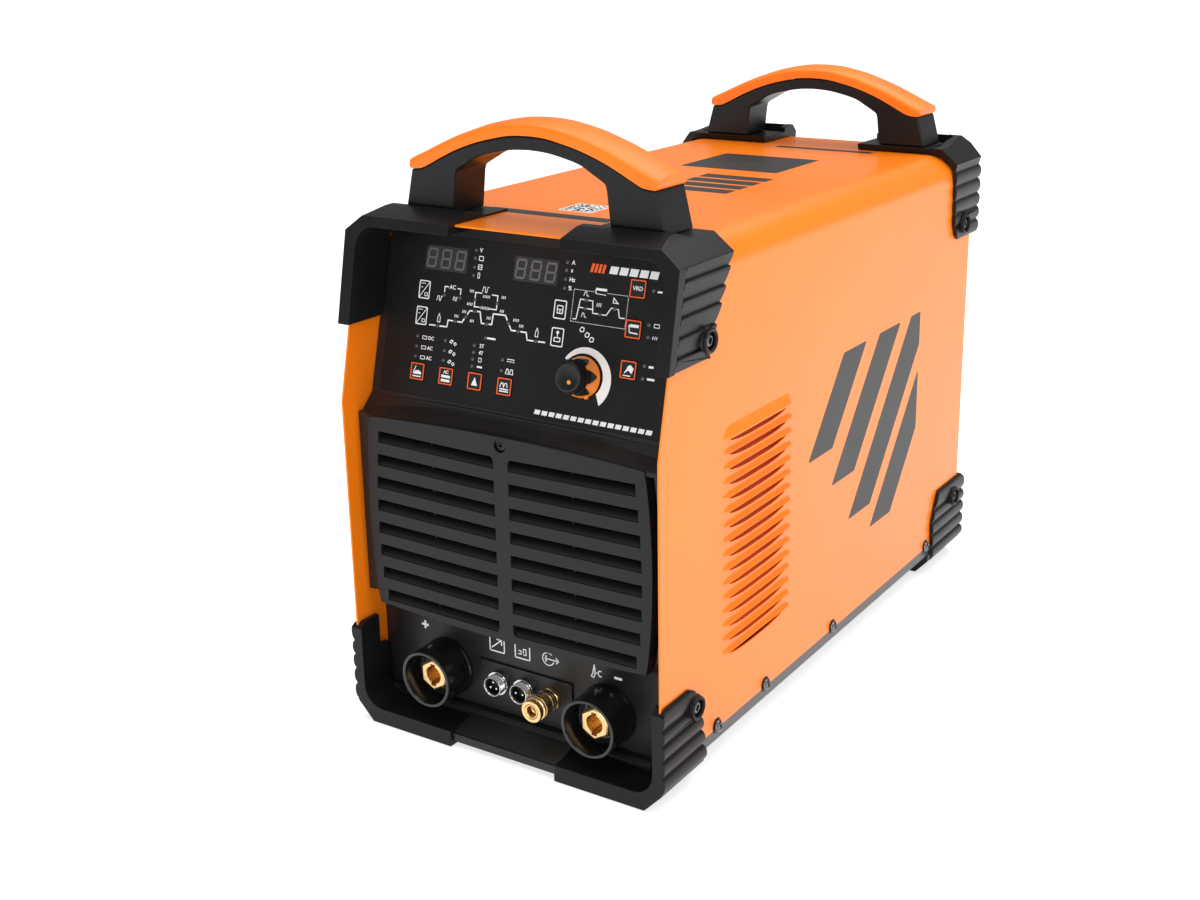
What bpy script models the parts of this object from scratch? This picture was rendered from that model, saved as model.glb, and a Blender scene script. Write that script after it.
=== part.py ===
"""A TIG welding machine: a folded sheet-metal cover over a tray, moulded front panel with
controls, grille and sockets, corner bumpers, two carrying handles, and what it holds inside.

All the dimensions below are millimetres in the cover's own stations: x to the right as seen
from the front, y backwards from the cover's front edge, z up from the cover's lower edge.
at() turns a station into the model's frame: metres, origin on the floor under the middle."""

import math

import bmesh
import bpy
from mathutils import Matrix, Vector

for old in list(bpy.data.objects):
    bpy.data.objects.remove(old, do_unlink=True)

# ---- driving dimensions -------------------------------------------------------------------
MM = 0.001
GAP = 0.3  # between two pieces that touch
COVER_HALF = 136.0  # half the cover's width
COVER_TOP = 360.0
COVER_BACK = 544.0
COVER_SHEET = 1.5
COVER_R = 24.0  # its two long bends
APEX_Z = 226.0  # above this the cover's front edge leans back
LEAN = 0.23
FOOT = 30.0  # the feet reach this far below the cover's lower edge
BACK_END = 556.0  # rearmost face of the rear bumpers
FRONT_END = -2.0  # foremost face of the lower bumpers
MID_Y = (BACK_END + FRONT_END) / 2

PANEL_Y, PANEL_Z, PANEL_LEAN = 31.4, 226.8, 0.255  # lower edge and tilt of the control panel
BAY_Y = 32.0  # wall of the socket bay
SURROUND_Y = 21.0  # face round the grille
GRILLE_Y = 10.0  # face of the grille
PANEL_T = 3.0
AXIS_Z = 16.2  # the sockets' common height

BUMP_X = 140.0  # outer side faces of the bumpers
BUMP_TOP = 366.0
BUMP_END = 47.0  # inner ends of the bumpers
RIDGE_BACK = [(50.0, 366.5), (63.0, 361.8)]  # back slope of the ridge on the front upper bumpers
HANDLE_Y = {"front": 52.5, "rear": 491.0}
HANDLE_DEEP = 38.0
FAN_Z, FAN_R = 118.0, 66.0
REAR_Y = 510.0  # rear panel
LIP_Y = 525.0  # the rear bumpers reach round the cover's edge as far forward as this


def at(x, y, z):
    return Vector((x, y - MID_Y, z + FOOT)) * MM


# ---- materials ----------------------------------------------------------------------------
def material(name, rgb, rough, metal=0.0):
    m = bpy.data.materials.new(name)
    m.use_nodes = True
    p = m.node_tree.nodes["Principled BSDF"]
    p.inputs["Base Color"].default_value = (*rgb, 1)
    p.inputs["Roughness"].default_value = rough
    p.inputs["Metallic"].default_value = metal
    m.diffuse_color = (*rgb, 1)
    return m


ORANGE = material("orange_powder_coat", (0.95, 0.30, 0.02), 0.25)
GRIP = material("orange_grip", (0.93, 0.16, 0.02), 0.45)
BLACK = material("black_plastic", (0.016, 0.016, 0.017), 0.5)
RUBBER = material("black_rubber", (0.022, 0.022, 0.023), 0.6)
GREY = material("grey_sheet", (0.10, 0.11, 0.12), 0.5, 0.2)
SMOKE = material("smoked_lens", (0.03, 0.03, 0.03), 0.1)
BRASS = material("brass", (0.80, 0.48, 0.14), 0.25, 1)
CHROME = material("nickel_plate", (0.7, 0.7, 0.72), 0.2, 1)
STEEL = material("black_oxide_steel", (0.05, 0.05, 0.05), 0.4, 1)
ALU = material("aluminium", (0.6, 0.6, 0.62), 0.4, 1)
GREEN = material("circuit_board", (0.02, 0.15, 0.06), 0.5)
COPPER = material("enamelled_copper", (0.5, 0.2, 0.08), 0.4, 1)


# ---- shape helpers ------------------------------------------------------------------------
def to_object(name, bm, mat, origin=None, smooth=True):
    bmesh.ops.remove_doubles(bm, verts=bm.verts, dist=1e-7)
    bmesh.ops.recalc_face_normals(bm, faces=bm.faces)
    mesh = bpy.data.meshes.new(name)
    if origin is not None:
        bmesh.ops.translate(bm, vec=-origin, verts=bm.verts)
    bm.to_mesh(mesh)
    bm.free()
    ob = bpy.data.objects.new(name, mesh)
    if origin is not None:
        ob.location = origin
    bpy.context.scene.collection.objects.link(ob)
    if mat:
        mesh.materials.append(mat)
    if smooth:
        mesh.shade_smooth()
        mesh.set_sharp_from_angle(angle=math.radians(32))
    return ob


def add_prism(bm, points, sweep):
    """A closed prism: the flat polygon of points, extruded along sweep."""
    verts = [bm.verts.new(p) for p in points]
    face = bm.faces.new(verts)
    out = bmesh.ops.extrude_face_region(bm, geom=[face])
    bmesh.ops.translate(
        bm, vec=sweep, verts=[g for g in out["geom"] if isinstance(g, bmesh.types.BMVert)]
    )


def prism_x(yz, x0, x1, bm=None):
    bm = bm or bmesh.new()
    add_prism(bm, [at(x0, y, z) for y, z in yz], Vector(((x1 - x0) * MM, 0, 0)))
    return bm


def prism_y(xz, y0, y1, bm=None):
    bm = bm or bmesh.new()
    add_prism(bm, [at(x, y0, z) for x, z in xz], Vector((0, (y1 - y0) * MM, 0)))
    return bm


def prism_z(xy, z0, z1, bm=None):
    bm = bm or bmesh.new()
    add_prism(bm, [at(x, y, z0) for x, y in xy], Vector((0, 0, (z1 - z0) * MM)))
    return bm


def block(x0, x1, y0, y1, z0, z1, bm=None):
    return prism_z([(x0, y0), (x1, y0), (x1, y1), (x0, y1)], z0, z1, bm)


def frame_of(centre, axis):
    """A matrix whose +Z is axis and whose origin is centre."""
    quat = axis.normalized().to_track_quat("Z", "Y")
    return Matrix.Translation(centre) @ quat.to_matrix().to_4x4()


def add_turned(bm, profile, centre, axis, segments=24, turn=0.0):
    """A solid of revolution: profile is (radius, distance along axis) in millimetres."""
    frame = frame_of(centre, axis)
    rings = []
    for r, d in profile:
        if r < 1e-6:
            rings.append([bm.verts.new(frame @ Vector((0, 0, d * MM)))])
        else:
            ring = []
            for i in range(segments):
                a = turn + 2 * math.pi * i / segments
                ring.append(
                    bm.verts.new(frame @ (Vector((r * math.cos(a), r * math.sin(a), d)) * MM))
                )
            rings.append(ring)
    closed = profile[0] == profile[-1]
    if closed:
        for v in rings.pop():
            bm.verts.remove(v)
    count = len(rings)
    for i in range(count if closed else count - 1):
        a, b = rings[i], rings[(i + 1) % count]
        for j in range(segments):
            k = (j + 1) % segments
            if len(a) == 1 and len(b) == 1:
                continue
            if len(a) == 1:
                bm.faces.new((a[0], b[j], b[k]))
            elif len(b) == 1:
                bm.faces.new((a[j], a[k], b[0]))
            else:
                bm.faces.new((a[j], a[k], b[k], b[j]))
    if not closed:
        for ring in (rings[0], rings[-1]):
            if len(ring) > 1:
                bm.faces.new(ring)
    return bm


def turned(profile, centre, axis, segments=24, turn=0.0):
    return add_turned(bmesh.new(), profile, centre, axis, segments, turn)


def combine(ob, operation, *shapes):
    """Boolean modifiers on ob, one for each shape, whose objects are only guides."""
    for bm in shapes:
        tool = to_object(f"tool_{ob.name}_{len(ob.modifiers)}", bm, None, smooth=False)
        tool.hide_render = True
        tool.display_type = "WIRE"
        mod = ob.modifiers.new(operation.lower(), "BOOLEAN")
        mod.operation = operation
        mod.solver = "EXACT"
        mod.object = tool
    return ob


def cut(ob, *shapes):
    return combine(ob, "DIFFERENCE", *shapes)


def join(ob, *shapes):
    return combine(ob, "UNION", *shapes)


def arc(cx, cy, r, a0, a1, n):
    """n + 1 points along an arc, angles in degrees."""
    return [
        (
            cx + r * math.cos(math.radians(a0 + (a1 - a0) * i / n)),
            cy + r * math.sin(math.radians(a0 + (a1 - a0) * i / n)),
        )
        for i in range(n + 1)
    ]


def strip(points, thick):
    """The closed outline of an open polyline given a thickness on its right-hand side."""
    normals = []
    for (x0, y0), (x1, y1) in zip(points, points[1:]):
        d = math.hypot(x1 - x0, y1 - y0)
        normals.append(((y1 - y0) / d, -(x1 - x0) / d))
    inner = []
    for i, (x, y) in enumerate(points):
        n0 = normals[max(i - 1, 0)]
        n1 = normals[min(i, len(normals) - 1)]
        bx, by = n0[0] + n1[0], n0[1] + n1[1]
        k = thick * 2 / (bx * bx + by * by)
        inner.append((x + bx * k, y + by * k))
    return points + inner[::-1]


def front_edge(z):
    """The cover's front edge at height z."""
    return max(0.0, (z - APEX_Z) * LEAN)


# the control panel's own directions: along x, up its slope, and out of its face
SLOPE = math.hypot(1, PANEL_LEAN)
UP = Vector((0, PANEL_LEAN, 1)) / SLOPE
OUT = Vector((0, -1, PANEL_LEAN)) / SLOPE


def on_panel(x, s, h=0.0):
    """A point s up the control panel's slope and h out of its face."""
    return at(x, PANEL_Y, PANEL_Z) + (UP * s + OUT * h) * MM


def panel_block(x0, x1, s0, s1, h0, h1, bm=None):
    bm = bm or bmesh.new()
    corners = [on_panel(x0, s0, h0), on_panel(x1, s0, h0), on_panel(x1, s1, h0), on_panel(x0, s1, h0)]
    add_prism(bm, corners, OUT * (h1 - h0) * MM)
    return bm


FORWARD = Vector((0, -1, 0))
BACKWARD = Vector((0, 1, 0))


def cover_outline(inset=0.0, bottom=0.0):
    """The cover's cross-section from the left lower edge over the top to the right one."""
    half, top, r = COVER_HALF - inset, COVER_TOP - inset, COVER_R - inset
    left = arc(-half + r, top - r, r, 180, 90, 6)
    right = arc(half - r, top - r, r, 90, 0, 6)
    return [(-half, bottom)] + left + right + [(half, bottom)]


# ---- tray and cover -----------------------------------------------------------------------
TRAY_HALF = COVER_HALF - COVER_SHEET - GAP - 0.1
SCREW_Y = (77.7, 152.6, 270.9, 469.9)
SCREW_Z = 2.6

tray = to_object(
    "base_tray",
    prism_y(
        strip(
            [(-TRAY_HALF, 24), (-TRAY_HALF, -10.6), (TRAY_HALF, -10.6), (TRAY_HALF, 24)], -1.5
        ),
        36.0,
        REAR_Y - GAP,
    ),
    GREY,
)
holes = bmesh.new()
for side in (-1, 1):
    for y in SCREW_Y:
        add_turned(holes, [(2.6, -4), (2.6, 4)], at(side * (TRAY_HALF - 0.7), y, SCREW_Z), Vector((1, 0, 0)), 10)
cut(tray, holes)
# air slots under the power stage
slots = bmesh.new()
for i in range(6):
    block(-60, 60, 170 + 16 * i, 176 + 16 * i, -14, -6, slots)
cut(tray, slots)

cover = to_object(
    "outer_cover",
    prism_y(cover_outline() + cover_outline(COVER_SHEET)[::-1], 0.0, COVER_BACK),
    ORANGE,
)
lean_cut = prism_x([(-8, APEX_Z), (0, APEX_Z), (front_edge(380), 380), (-8, 380)], -150, 150)
LOUVRE_Y = (86.0, 188.6)
LOUVRES = 16
LOUVRE_PITCH = 10.83
LOUVRE_TOP = 219.0
side_cuts = bmesh.new()
for side in (-1, 1):
    x0, x1 = sorted((side * 130, side * 142))
    for i in range(LOUVRES):
        z = LOUVRE_TOP - LOUVRE_PITCH * i
        block(x0, x1, LOUVRE_Y[0], LOUVRE_Y[1], z - 3.2, z, side_cuts)
    for y in SCREW_Y:
        half_round = arc(y, SCREW_Z, 2.7, 0, 180, 6)
        prism_x(half_round + [(y - 2.7, -3), (y + 2.7, -3)], x0, x1, side_cuts)
cut(cover, lean_cut, side_cuts)


# ---- corner bumpers -----------------------------------------------------------------------
BOLTS = {  # (y, z) of each bumper's bolt
    "front_upper": (57.0, 296.0),
    "front_lower": (41.0, 35.0),
    "rear_upper": (519.0, 297.0),
    "rear_lower": (527.0, 35.0),
}
bolt_holes = bmesh.new()
for side in (-1, 1):
    for y, z in BOLTS.values():
        add_turned(bolt_holes, [(3.0, -8), (3.0, 8)], at(side * 135, y, z), Vector((side, 0, 0)), 12)
cut(cover, bolt_holes)


def bumper(name, side, upper, front):
    """One corner bumper: a chamfered block over the cover's corner, hollowed round the sheet."""
    z_out = (283.0, BUMP_TOP) if upper else (-FOOT, 50.0)
    ch_x, ch_z = 13.0, 13.5  # chamfer along the outer long edge
    if upper and front:
        section = [(BUMP_END, z_out[0]), (BUMP_X, z_out[0]), (BUMP_X, 350.0), (124.0, 362.0), (119.0, 367.0), (BUMP_END, 367.0)]
    elif upper:
        section = [(BUMP_END, z_out[0]), (BUMP_X, z_out[0]), (BUMP_X, z_out[1] - ch_z), (BUMP_X - ch_x, z_out[1]), (BUMP_END, z_out[1])]
    else:
        section = [(BUMP_END, z_out[0]), (BUMP_X - 17, z_out[0]), (BUMP_X, z_out[0] + ch_z), (BUMP_X, z_out[1]), (BUMP_END, z_out[1])]
    section = [(side * x, z) for x, z in section]
    y0, y1 = (-2.0, 94.0) if front else (480.0, BACK_END)
    ob = to_object(name, prism_y(section, y0, y1), RUBBER)
    # the outline seen from the side
    if front and upper:
        keep = [(6.0, 283.0), (22.5, 361.0), (42.0, 366.0), *RIDGE_BACK, (92.0, RIDGE_BACK[1][1]), (91.0, 344.0), (57.0, 282.0)]
    elif front:
        keep = [(-2.0, -31.0), (-2.0, 46.0), (4.0, 51.0), (34.0, 51.0), (47.0, 38.0), (58.0, -31.0)]
    elif upper:
        keep = [(497.0, 289.0), (498.0, 350.0), (488.5, 367.0), (549.0, 367.0), (557.0, 352.0), (556.0, 292.0), (512.0, 282.0)]
    else:
        keep = [(481.0, -31.0), (478.0, 22.0), (493.0, 51.0), (550.0, 51.0), (557.0, 46.0), (557.0, -31.0)]
    combine(ob, "INTERSECT", prism_x(keep, side * 40, side * 146))
    g = GAP
    # slot for the cover's sheet, open where the cover is
    band = [(x, z) for x, z in cover_outline(-g, -60)] + [(x, z) for x, z in cover_outline(COVER_SHEET + g + 0.2, -60)][::-1]
    edge = [(-g, -70), (-g, APEX_Z), (front_edge(380) - g, 380)]
    if not front:
        edge = [(COVER_BACK + g, -70), (COVER_BACK + g, 380)]
    slot = prism_y(band, -20, 580)
    far = 600 if front else -30
    slot_ob = to_object(f"tool_slot_{name}", slot, None, smooth=False)
    slot_ob.hide_render, slot_ob.display_type = True, "WIRE"
    combine(slot_ob, "INTERSECT", prism_x(edge + [(far, 380), (far, -70)], -160, 160))
    for mod_tool in (slot_ob,):
        mod = ob.modifiers.new("slot", "BOOLEAN")
        mod.operation, mod.solver, mod.object = "DIFFERENCE", "EXACT", mod_tool
    # the opening inside the lip, with its rounded corner
    wall = 4.5
    in_x, r = COVER_HALF - COVER_SHEET - g - wall, 16.0
    if upper:
        ceiling = COVER_TOP - COVER_SHEET - g - wall
        void = [(BUMP_END - 20, 270), (in_x, 270)] + arc(in_x - r, ceiling - r, r, 0, 90, 6) + [(BUMP_END - 20, ceiling)]
    else:
        floor = -17.0
        void = [(in_x, 80)] + arc(in_x - r, floor + r, r, 0, -90, 6) + [(BUMP_END - 20, floor), (BUMP_END - 20, 80)]
    opening = (-20, 600) if upper else ((-20, 28) if front else (LIP_Y, 600))
    cut(ob, prism_y([(side * x, z) for x, z in void], *opening))
    # everything inside the cover behind the lip
    inner = [(0, -11.0), (COVER_HALF - 0.5, -11.0), (COVER_HALF - 0.5, COVER_TOP - 12), (COVER_HALF - 12, COVER_TOP - 0.5), (0, COVER_TOP - 0.5)]
    if upper and front:
        back = [(PANEL_Y + PANEL_LEAN * (270 - PANEL_Z) - 4.0, 270), (PANEL_Y + PANEL_LEAN * (380 - PANEL_Z) - 4.0, 380), (600, 380), (600, 270)]
    elif front:
        back = [(28.0, -11.0), (28.0, 60), (600, 60), (600, -11.0)]
    else:
        back = [(LIP_Y, -11.0), (LIP_Y, 380), (-30, 380), (-30, -11.0)]
    inside = to_object(f"tool_inside_{name}", prism_y([(side * x, z) for x, z in inner], -20, 600), None, smooth=False)
    inside.hide_render, inside.display_type = True, "WIRE"
    combine(inside, "INTERSECT", prism_x(back, -170, 170))
    mod = ob.modifiers.new("inside", "BOOLEAN")
    mod.operation, mod.solver, mod.object = "DIFFERENCE", "EXACT", inside
    if upper and not front:  # shallow pocket behind the handle's leg
        pocket = [(60.0, 531.0), (118.0, 531.0), (118.0, 541.0), (110.0, 549.0), (60.0, 549.0)]
        cut(ob, prism_z([(side * x, y) for x, y in pocket], 361.0, 372.0))
    # round boss with the bolt sunk in it
    y, z = BOLTS[f"{'front' if front else 'rear'}_{'upper' if upper else 'lower'}"]
    centre, outward = at(side * 135, y, z), Vector((side, 0, 0))
    join(ob, turned([(0, 3.2), (8.8, 3.2), (8.8, 7.4), (8.2, 8.0), (0, 8.0)], centre, outward, 20))
    cut(ob, turned([(4.7, -30), (4.7, -0.6), (3.0, -0.6), (3.0, 3.0), (6.4, 3.0), (6.4, 12)], centre, outward, 20))
    return ob


for where, front in (("front", True), ("rear", False)):
    for level, upper in (("upper", True), ("lower", False)):
        for hand, side in (("left", -1), ("right", 1)):
            bumper(f"bumper_{where}_{level}_{hand}", side, upper, front)


# ---- front panel, grille and connector plate ----------------------------------------------
PANEL_HALF = COVER_HALF - COVER_SHEET - 0.6
PANEL_TOP = 352.0
SOCKET_X = 73.0
SOCKET_HOLE = 20.0
CONNECTOR_X = (-23.7, 0.0)
COUPLING_X = 23.7

front_skin = [
    (PANEL_Y + (PANEL_TOP - PANEL_Z) * PANEL_LEAN, PANEL_TOP),
    (PANEL_Y, PANEL_Z),
    (SURROUND_Y, 216.5),
    (SURROUND_Y, 73.0),
    (BAY_Y, 58.0),
    (BAY_Y, -10.6),
]
front_panel = to_object(
    "front_panel", prism_x(strip(front_skin, -PANEL_T), -PANEL_HALF, PANEL_HALF), BLACK
)
shelf = prism_x(
    [(34.6, -8.9), (28.0, -8.9), (2.0, -12.5), (0.6, -14.0), (0.6, -16.6), (27.6, -16.6), (27.6, -10.7), (34.6, -10.7)],
    -112,
    112,
)
lip = block(-46.5, 46.5, 0.6, 6.0, -26.0, -14.5)
join(front_panel, shelf, lip)
# the upper corners are rounded to sit under the cover's bends
corner = bmesh.new()
for side in (-1, 1):
    c = PANEL_HALF - 22
    pts = arc(c, 353 - 22, 22, 0, 90, 6) + [(c, 380), (PANEL_HALF + 20, 380), (PANEL_HALF + 20, 331)]
    prism_y([(side * x, z) for x, z in pts], 20, 90, corner)
cut(front_panel, corner)


def grille_half(z, mid=124.0, end=118.6):
    """Half the grille's width at height z: its sides bow outwards."""
    t = (z - 141.0) / 76.0
    return mid - (mid - end) * t * t


def grille_outline(inset=0.0):
    low_end, low_mid, top_end, top_mid = 67.2, 63.0, 215.2, 219.0
    pts = []
    n = 6
    for i in range(n + 1):  # lower edge, left to right
        t = -1 + 2 * i / n
        pts.append((t * (118.6 - inset), low_mid + (low_end - low_mid) * t * t + inset))
    for i in range(1, n):  # right side, upwards
        z = low_end + (top_end - low_end) * i / n
        pts.append((grille_half(z) - inset, z))
    for i in range(n + 1):
        t = 1 - 2 * i / n
        pts.append((t * (118.6 - inset), top_mid - (top_mid - top_end) * t * t - inset))
    for i in range(1, n):
        z = top_end - (top_end - low_end) * i / n
        pts.append((-grille_half(z) + inset, z))
    return pts


# opening behind the grille
cut(front_panel, prism_y([(x * 0.93, 141 + (z - 141) * 0.9) for x, z in grille_outline(3)], 15, 30))
panel_holes = bmesh.new()
for side in (-1, 1):
    add_turned(panel_holes, [(SOCKET_HOLE, -6), (SOCKET_HOLE, 6)], at(side * SOCKET_X, BAY_Y + 1, AXIS_Z), BACKWARD, 32)
block(-38, 38, BAY_Y - 2, BAY_Y + 6, -2.5, 28.5, panel_holes)
add_turned(panel_holes, [(2.1, -6), (2.1, 8)], at(0, SURROUND_Y + 1, 212.3), BACKWARD, 12)
cut(front_panel, panel_holes)

DISPLAYS = {"left": (-97.0, -58.4), "right": (-17.6, 20.7)}
DISPLAY_S = (95.2, 113.3)
LOWER_KEYS = {"mode": -92.6, "waveform": -66.1, "trigger": -39.9, "pulse": -13.6}
RIGHT_KEYS = {"vrd": 101.0, "hf": 73.8, "gas": 46.3}
KEY_X, KEY_S = 86.4, 20.4
KEY = 12.4
KNOB_X, KNOB_S = 51.2, 36.4
keys = {f"button_{n}": (x, KEY_S) for n, x in LOWER_KEYS.items()}
keys.update({f"button_{n}": (KEY_X, s) for n, s in RIGHT_KEYS.items()})

windows = bmesh.new()
for x0, x1 in DISPLAYS.values():
    panel_block(x0 - GAP, x1 + GAP, DISPLAY_S[0] - GAP, DISPLAY_S[1] + GAP, -6, 4, windows)
for x, s in keys.values():
    h = KEY / 2 + 0.35
    panel_block(x - h, x + h, s - h, s + h, -6, 4, windows)
add_turned(windows, [(4.2, -6), (4.2, 4)], on_panel(KNOB_X, KNOB_S), OUT, 20)
cut(front_panel, windows)

front_grille = to_object("front_grille", prism_y(grille_outline(), GRILLE_Y, SURROUND_Y - GAP), BLACK)
cut(front_grille, prism_y(grille_outline(3.5), GRILLE_Y + 3.5, SURROUND_Y + 5))
brow = prism_x([(GRILLE_Y + 0.8, 214.0), (GRILLE_Y + 0.8, 218.2), (29.6, 226.4), (20.7, 217.2), (20.7, 214.0)], -92, 92)
boss = turned([(7.5, 0), (7.5, 9.6)], at(0, GRILLE_Y + 1, 211.3), BACKWARD, 16)
join(front_grille, brow, boss)
ROW_PITCH, ROW_TOP, ROW_HIGH = 17.93, 203.9, 9.0
grille_cuts = bmesh.new()
for i in range(8):
    z = ROW_TOP - ROW_PITCH * i
    out = grille_half(z - 4.5) - 8.6
    for side in (-1, 1):
        x0, x1 = sorted((side * 6.4, side * out))
        block(x0, x1, GRILLE_Y - 3, GRILLE_Y + 4.2, z - ROW_HIGH, z, grille_cuts)
cut(front_grille, grille_cuts)
cut(
    front_grille,
    turned([(4.9, -4), (4.9, 4.6)], at(0, GRILLE_Y, 212.3), BACKWARD, 16),
    turned([(2.2, 2), (2.2, 16)], at(0, GRILLE_Y, 212.3), BACKWARD, 12),
)
to_object(
    "grille_screw",
    turned([(0, 0.8), (3.9, 0.8), (4.3, 1.6), (4.3, 4.2), (1.8, 4.2), (1.8, 22), (0, 22)], at(0, GRILLE_Y, 212.3), BACKWARD, 16),
    STEEL,
)

PLATE_FACE = BAY_Y - 1.9
connector_plate = to_object("connector_plate", block(-42, 42, PLATE_FACE, PLATE_FACE + 1.6, -5.0, 31.0), BLACK)
plate_holes = bmesh.new()
for x in CONNECTOR_X:
    add_turned(plate_holes, [(7.9, -4), (7.9, 6)], at(x, PLATE_FACE, AXIS_Z - 0.4), BACKWARD, 24)
add_turned(plate_holes, [(5.6, -4), (5.6, 6)], at(COUPLING_X, PLATE_FACE, AXIS_Z - 0.4), BACKWARD, 20)
cut(connector_plate, plate_holes)

# ---- displays, keys and knob --------------------------------------------------------------
for hand, (x0, x1) in DISPLAYS.items():
    to_object(f"display_window_{hand}", panel_block(x0, x1, DISPLAY_S[0], DISPLAY_S[1], -2.6, 0.0), SMOKE)

for name, (x, s) in keys.items():
    bm = panel_block(x - KEY / 2, x + KEY / 2, s - KEY / 2, s + KEY / 2, -4.0, 1.0)
    key = to_object(name, bm, BLACK, origin=on_panel(x, s))
    join(key, panel_block(x - 7.6, x + 7.6, s - 7.6, s + 7.6, -4.9, -3.7))

board = to_object("control_board", panel_block(-124, 118, 6, 118, -13.6, -12.0), GREEN)
join(
    board,
    panel_block(KNOB_X - 6.5, KNOB_X + 6.5, KNOB_S - 6.5, KNOB_S + 6.5, -12.5, -5.2),
    panel_block(-98, -57, 94, 114, -12.5, -3.2),
    panel_block(-18.5, 21.5, 94, 114, -12.5, -3.2),
)
posts = bmesh.new()  # key switches
for x, s in keys.values():
    panel_block(x - 2.5, x + 2.5, s - 2.5, s + 2.5, -12.5, -5.8, posts)
join(board, posts)
cut(board, turned([(3.4, -20), (3.4, 0)], on_panel(KNOB_X, KNOB_S), OUT, 16))
to_object(
    "encoder_shaft",
    turned([(0, -11.5), (3.0, -11.5), (3.0, 15.5), (0, 15.5)], on_panel(KNOB_X, KNOB_S), OUT, 20),
    STEEL,
    origin=on_panel(KNOB_X, KNOB_S),
)
to_object(
    "knob_skirt",
    turned(
        [(3.3, 1.0), (16.8, 1.0), (16.8, 4.0), (15.6, 7.0), (12.6, 12.0), (3.3, 12.0), (3.3, 1.0)],
        on_panel(KNOB_X, KNOB_S),
        OUT,
        24,
    ),
    GRIP,
    origin=on_panel(KNOB_X, KNOB_S),
)
to_object(
    "knob_cap",
    turned(
        [(3.3, 12.3), (11.6, 12.3), (10.9, 14.0), (10.6, 19.6), (9.7, 20.5), (0, 20.5), (0, 15.8), (3.3, 15.8), (3.3, 12.3)],
        on_panel(KNOB_X, KNOB_S),
        OUT,
        24,
    ),
    BLACK,
    origin=on_panel(KNOB_X, KNOB_S),
)


# ---- sockets, connectors and gas coupling -------------------------------------------------
for pole, side in (("positive", -1), ("negative", 1)):
    where = at(side * SOCKET_X, 3.0, AXIS_Z)
    to_object(
        f"socket_body_{pole}",
        turned(
            [
                (19.8, 0), (21.8, 0), (22.4, 0.6), (22.4, 26.2), (24.5, 26.6), (24.5, 28.7), (19.7, 28.7),
                (19.7, 32.3), (23.5, 32.3), (23.5, 38), (10.4, 38), (10.4, 17.5), (19.2, 17.5), (19.2, 0.8), (19.8, 0),
            ],
            where,
            BACKWARD,
            28,
        ),
        BLACK,
    )
    contact = to_object(
        f"socket_contact_{pole}",
        turned([(12.2, 9.5), (12.7, 10.1), (12.7, 17.2), (0, 17.2)], where, BACKWARD, 6, math.pi / 6),
        BRASS,
    )
    join(contact, turned([(10.1, 16), (10.1, 44), (5.0, 44), (5.0, 60)], where, BACKWARD, 24))
    key_way = block(side * SOCKET_X - 2, side * SOCKET_X + 2, 3 + 8, 3 + 27.5, AXIS_Z + 3, AXIS_Z + 9)
    cut(contact, turned([(6.5, 8), (6.5, 27.5)], where, BACKWARD, 24), key_way)

for hand, x, pins in (("left", CONNECTOR_X[0], 3), ("right", CONNECTOR_X[1], 2)):
    where = at(x, 22.4, AXIS_Z - 0.4)
    shell = to_object(
        f"remote_connector_{hand}",
        turned(
            [
                (7.2, 0), (7.8, 0.5), (7.8, 4.4), (10.6, 4.4), (10.6, 7.3), (7.5, 7.3), (7.5, 9.8), (9.6, 9.8), (9.6, 18),
                (0, 18), (0, 8.0), (6.6, 8.0), (6.6, 0), (7.2, 0),
            ],
            where,
            BACKWARD,
            24,
        ),
        CHROME,
    )
    for i in range(pins):
        a = math.radians(90 + 360 / pins * i + (90 if pins == 2 else 0))
        pin = turned([(0, 4.4), (0.8, 4.9), (0.8, 9.0), (0, 9.0)], where + Vector((math.cos(a), 0, math.sin(a))) * 3.2 * MM, BACKWARD, 8)
        join(shell, pin)

coupling = at(COUPLING_X, 4.0, AXIS_Z - 0.4)
body = to_object(
    "gas_coupling_body",
    turned(
        [
            (4.6, 0.8), (5.4, 1.6), (5.4, 12.9), (7.0, 12.9), (7.0, 20.8), (9.6, 20.8), (9.6, 25.8), (5.3, 25.8), (5.3, 38),
            (3.8, 38), (4.4, 50), (3.4, 50.6), (2.0, 50.6), (2.0, 24), (3.4, 24), (3.4, 0.8), (4.6, 0.8),
        ],
        coupling,
        BACKWARD,
        20,
    ),
    BRASS,
)
to_object(
    "gas_coupling_sleeve",
    turned(
        [
            (5.8, 0.4), (6.4, 0), (7.8, 0.5), (7.8, 4.6), (6.9, 5.2), (6.9, 6.6), (7.8, 7.0), (9.0, 7.6), (9.0, 16.4), (8.4, 16.9),
            (7.5, 16.9), (7.5, 9.0), (5.8, 9.0), (5.8, 0.4),
        ],
        coupling,
        BACKWARD,
        24,
    ),
    BRASS,
    origin=coupling,
)

# ---- carrying handles ---------------------------------------------------------------------
GRIP_LOW = [(0, 421.5), (16, 420.6), (30.6, 417.7), (42, 414.9), (52.7, 411.5), (64, 407.2), (75.5, 401.9), (87.2, 396.0), (94, 393.2), (102.6, 392.3)]
GRIP_HIGH = [(0, 427.4), (16, 426.6), (31, 423.9), (42, 421.3), (53, 417.7), (64, 413.9), (75.5, 409.2), (87.2, 404.0), (95, 400.4), (104.4, 396.4)]
CROWN = [(0.0, 0.0), (3.0, 2.6), (11.0, 4.2), (19.0, 4.6), (27.0, 4.2), (35.0, 2.6), (38.0, 0.0)]


def mirrored(points):
    return [(-x, z) for x, z in points[:0:-1]] + points


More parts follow.
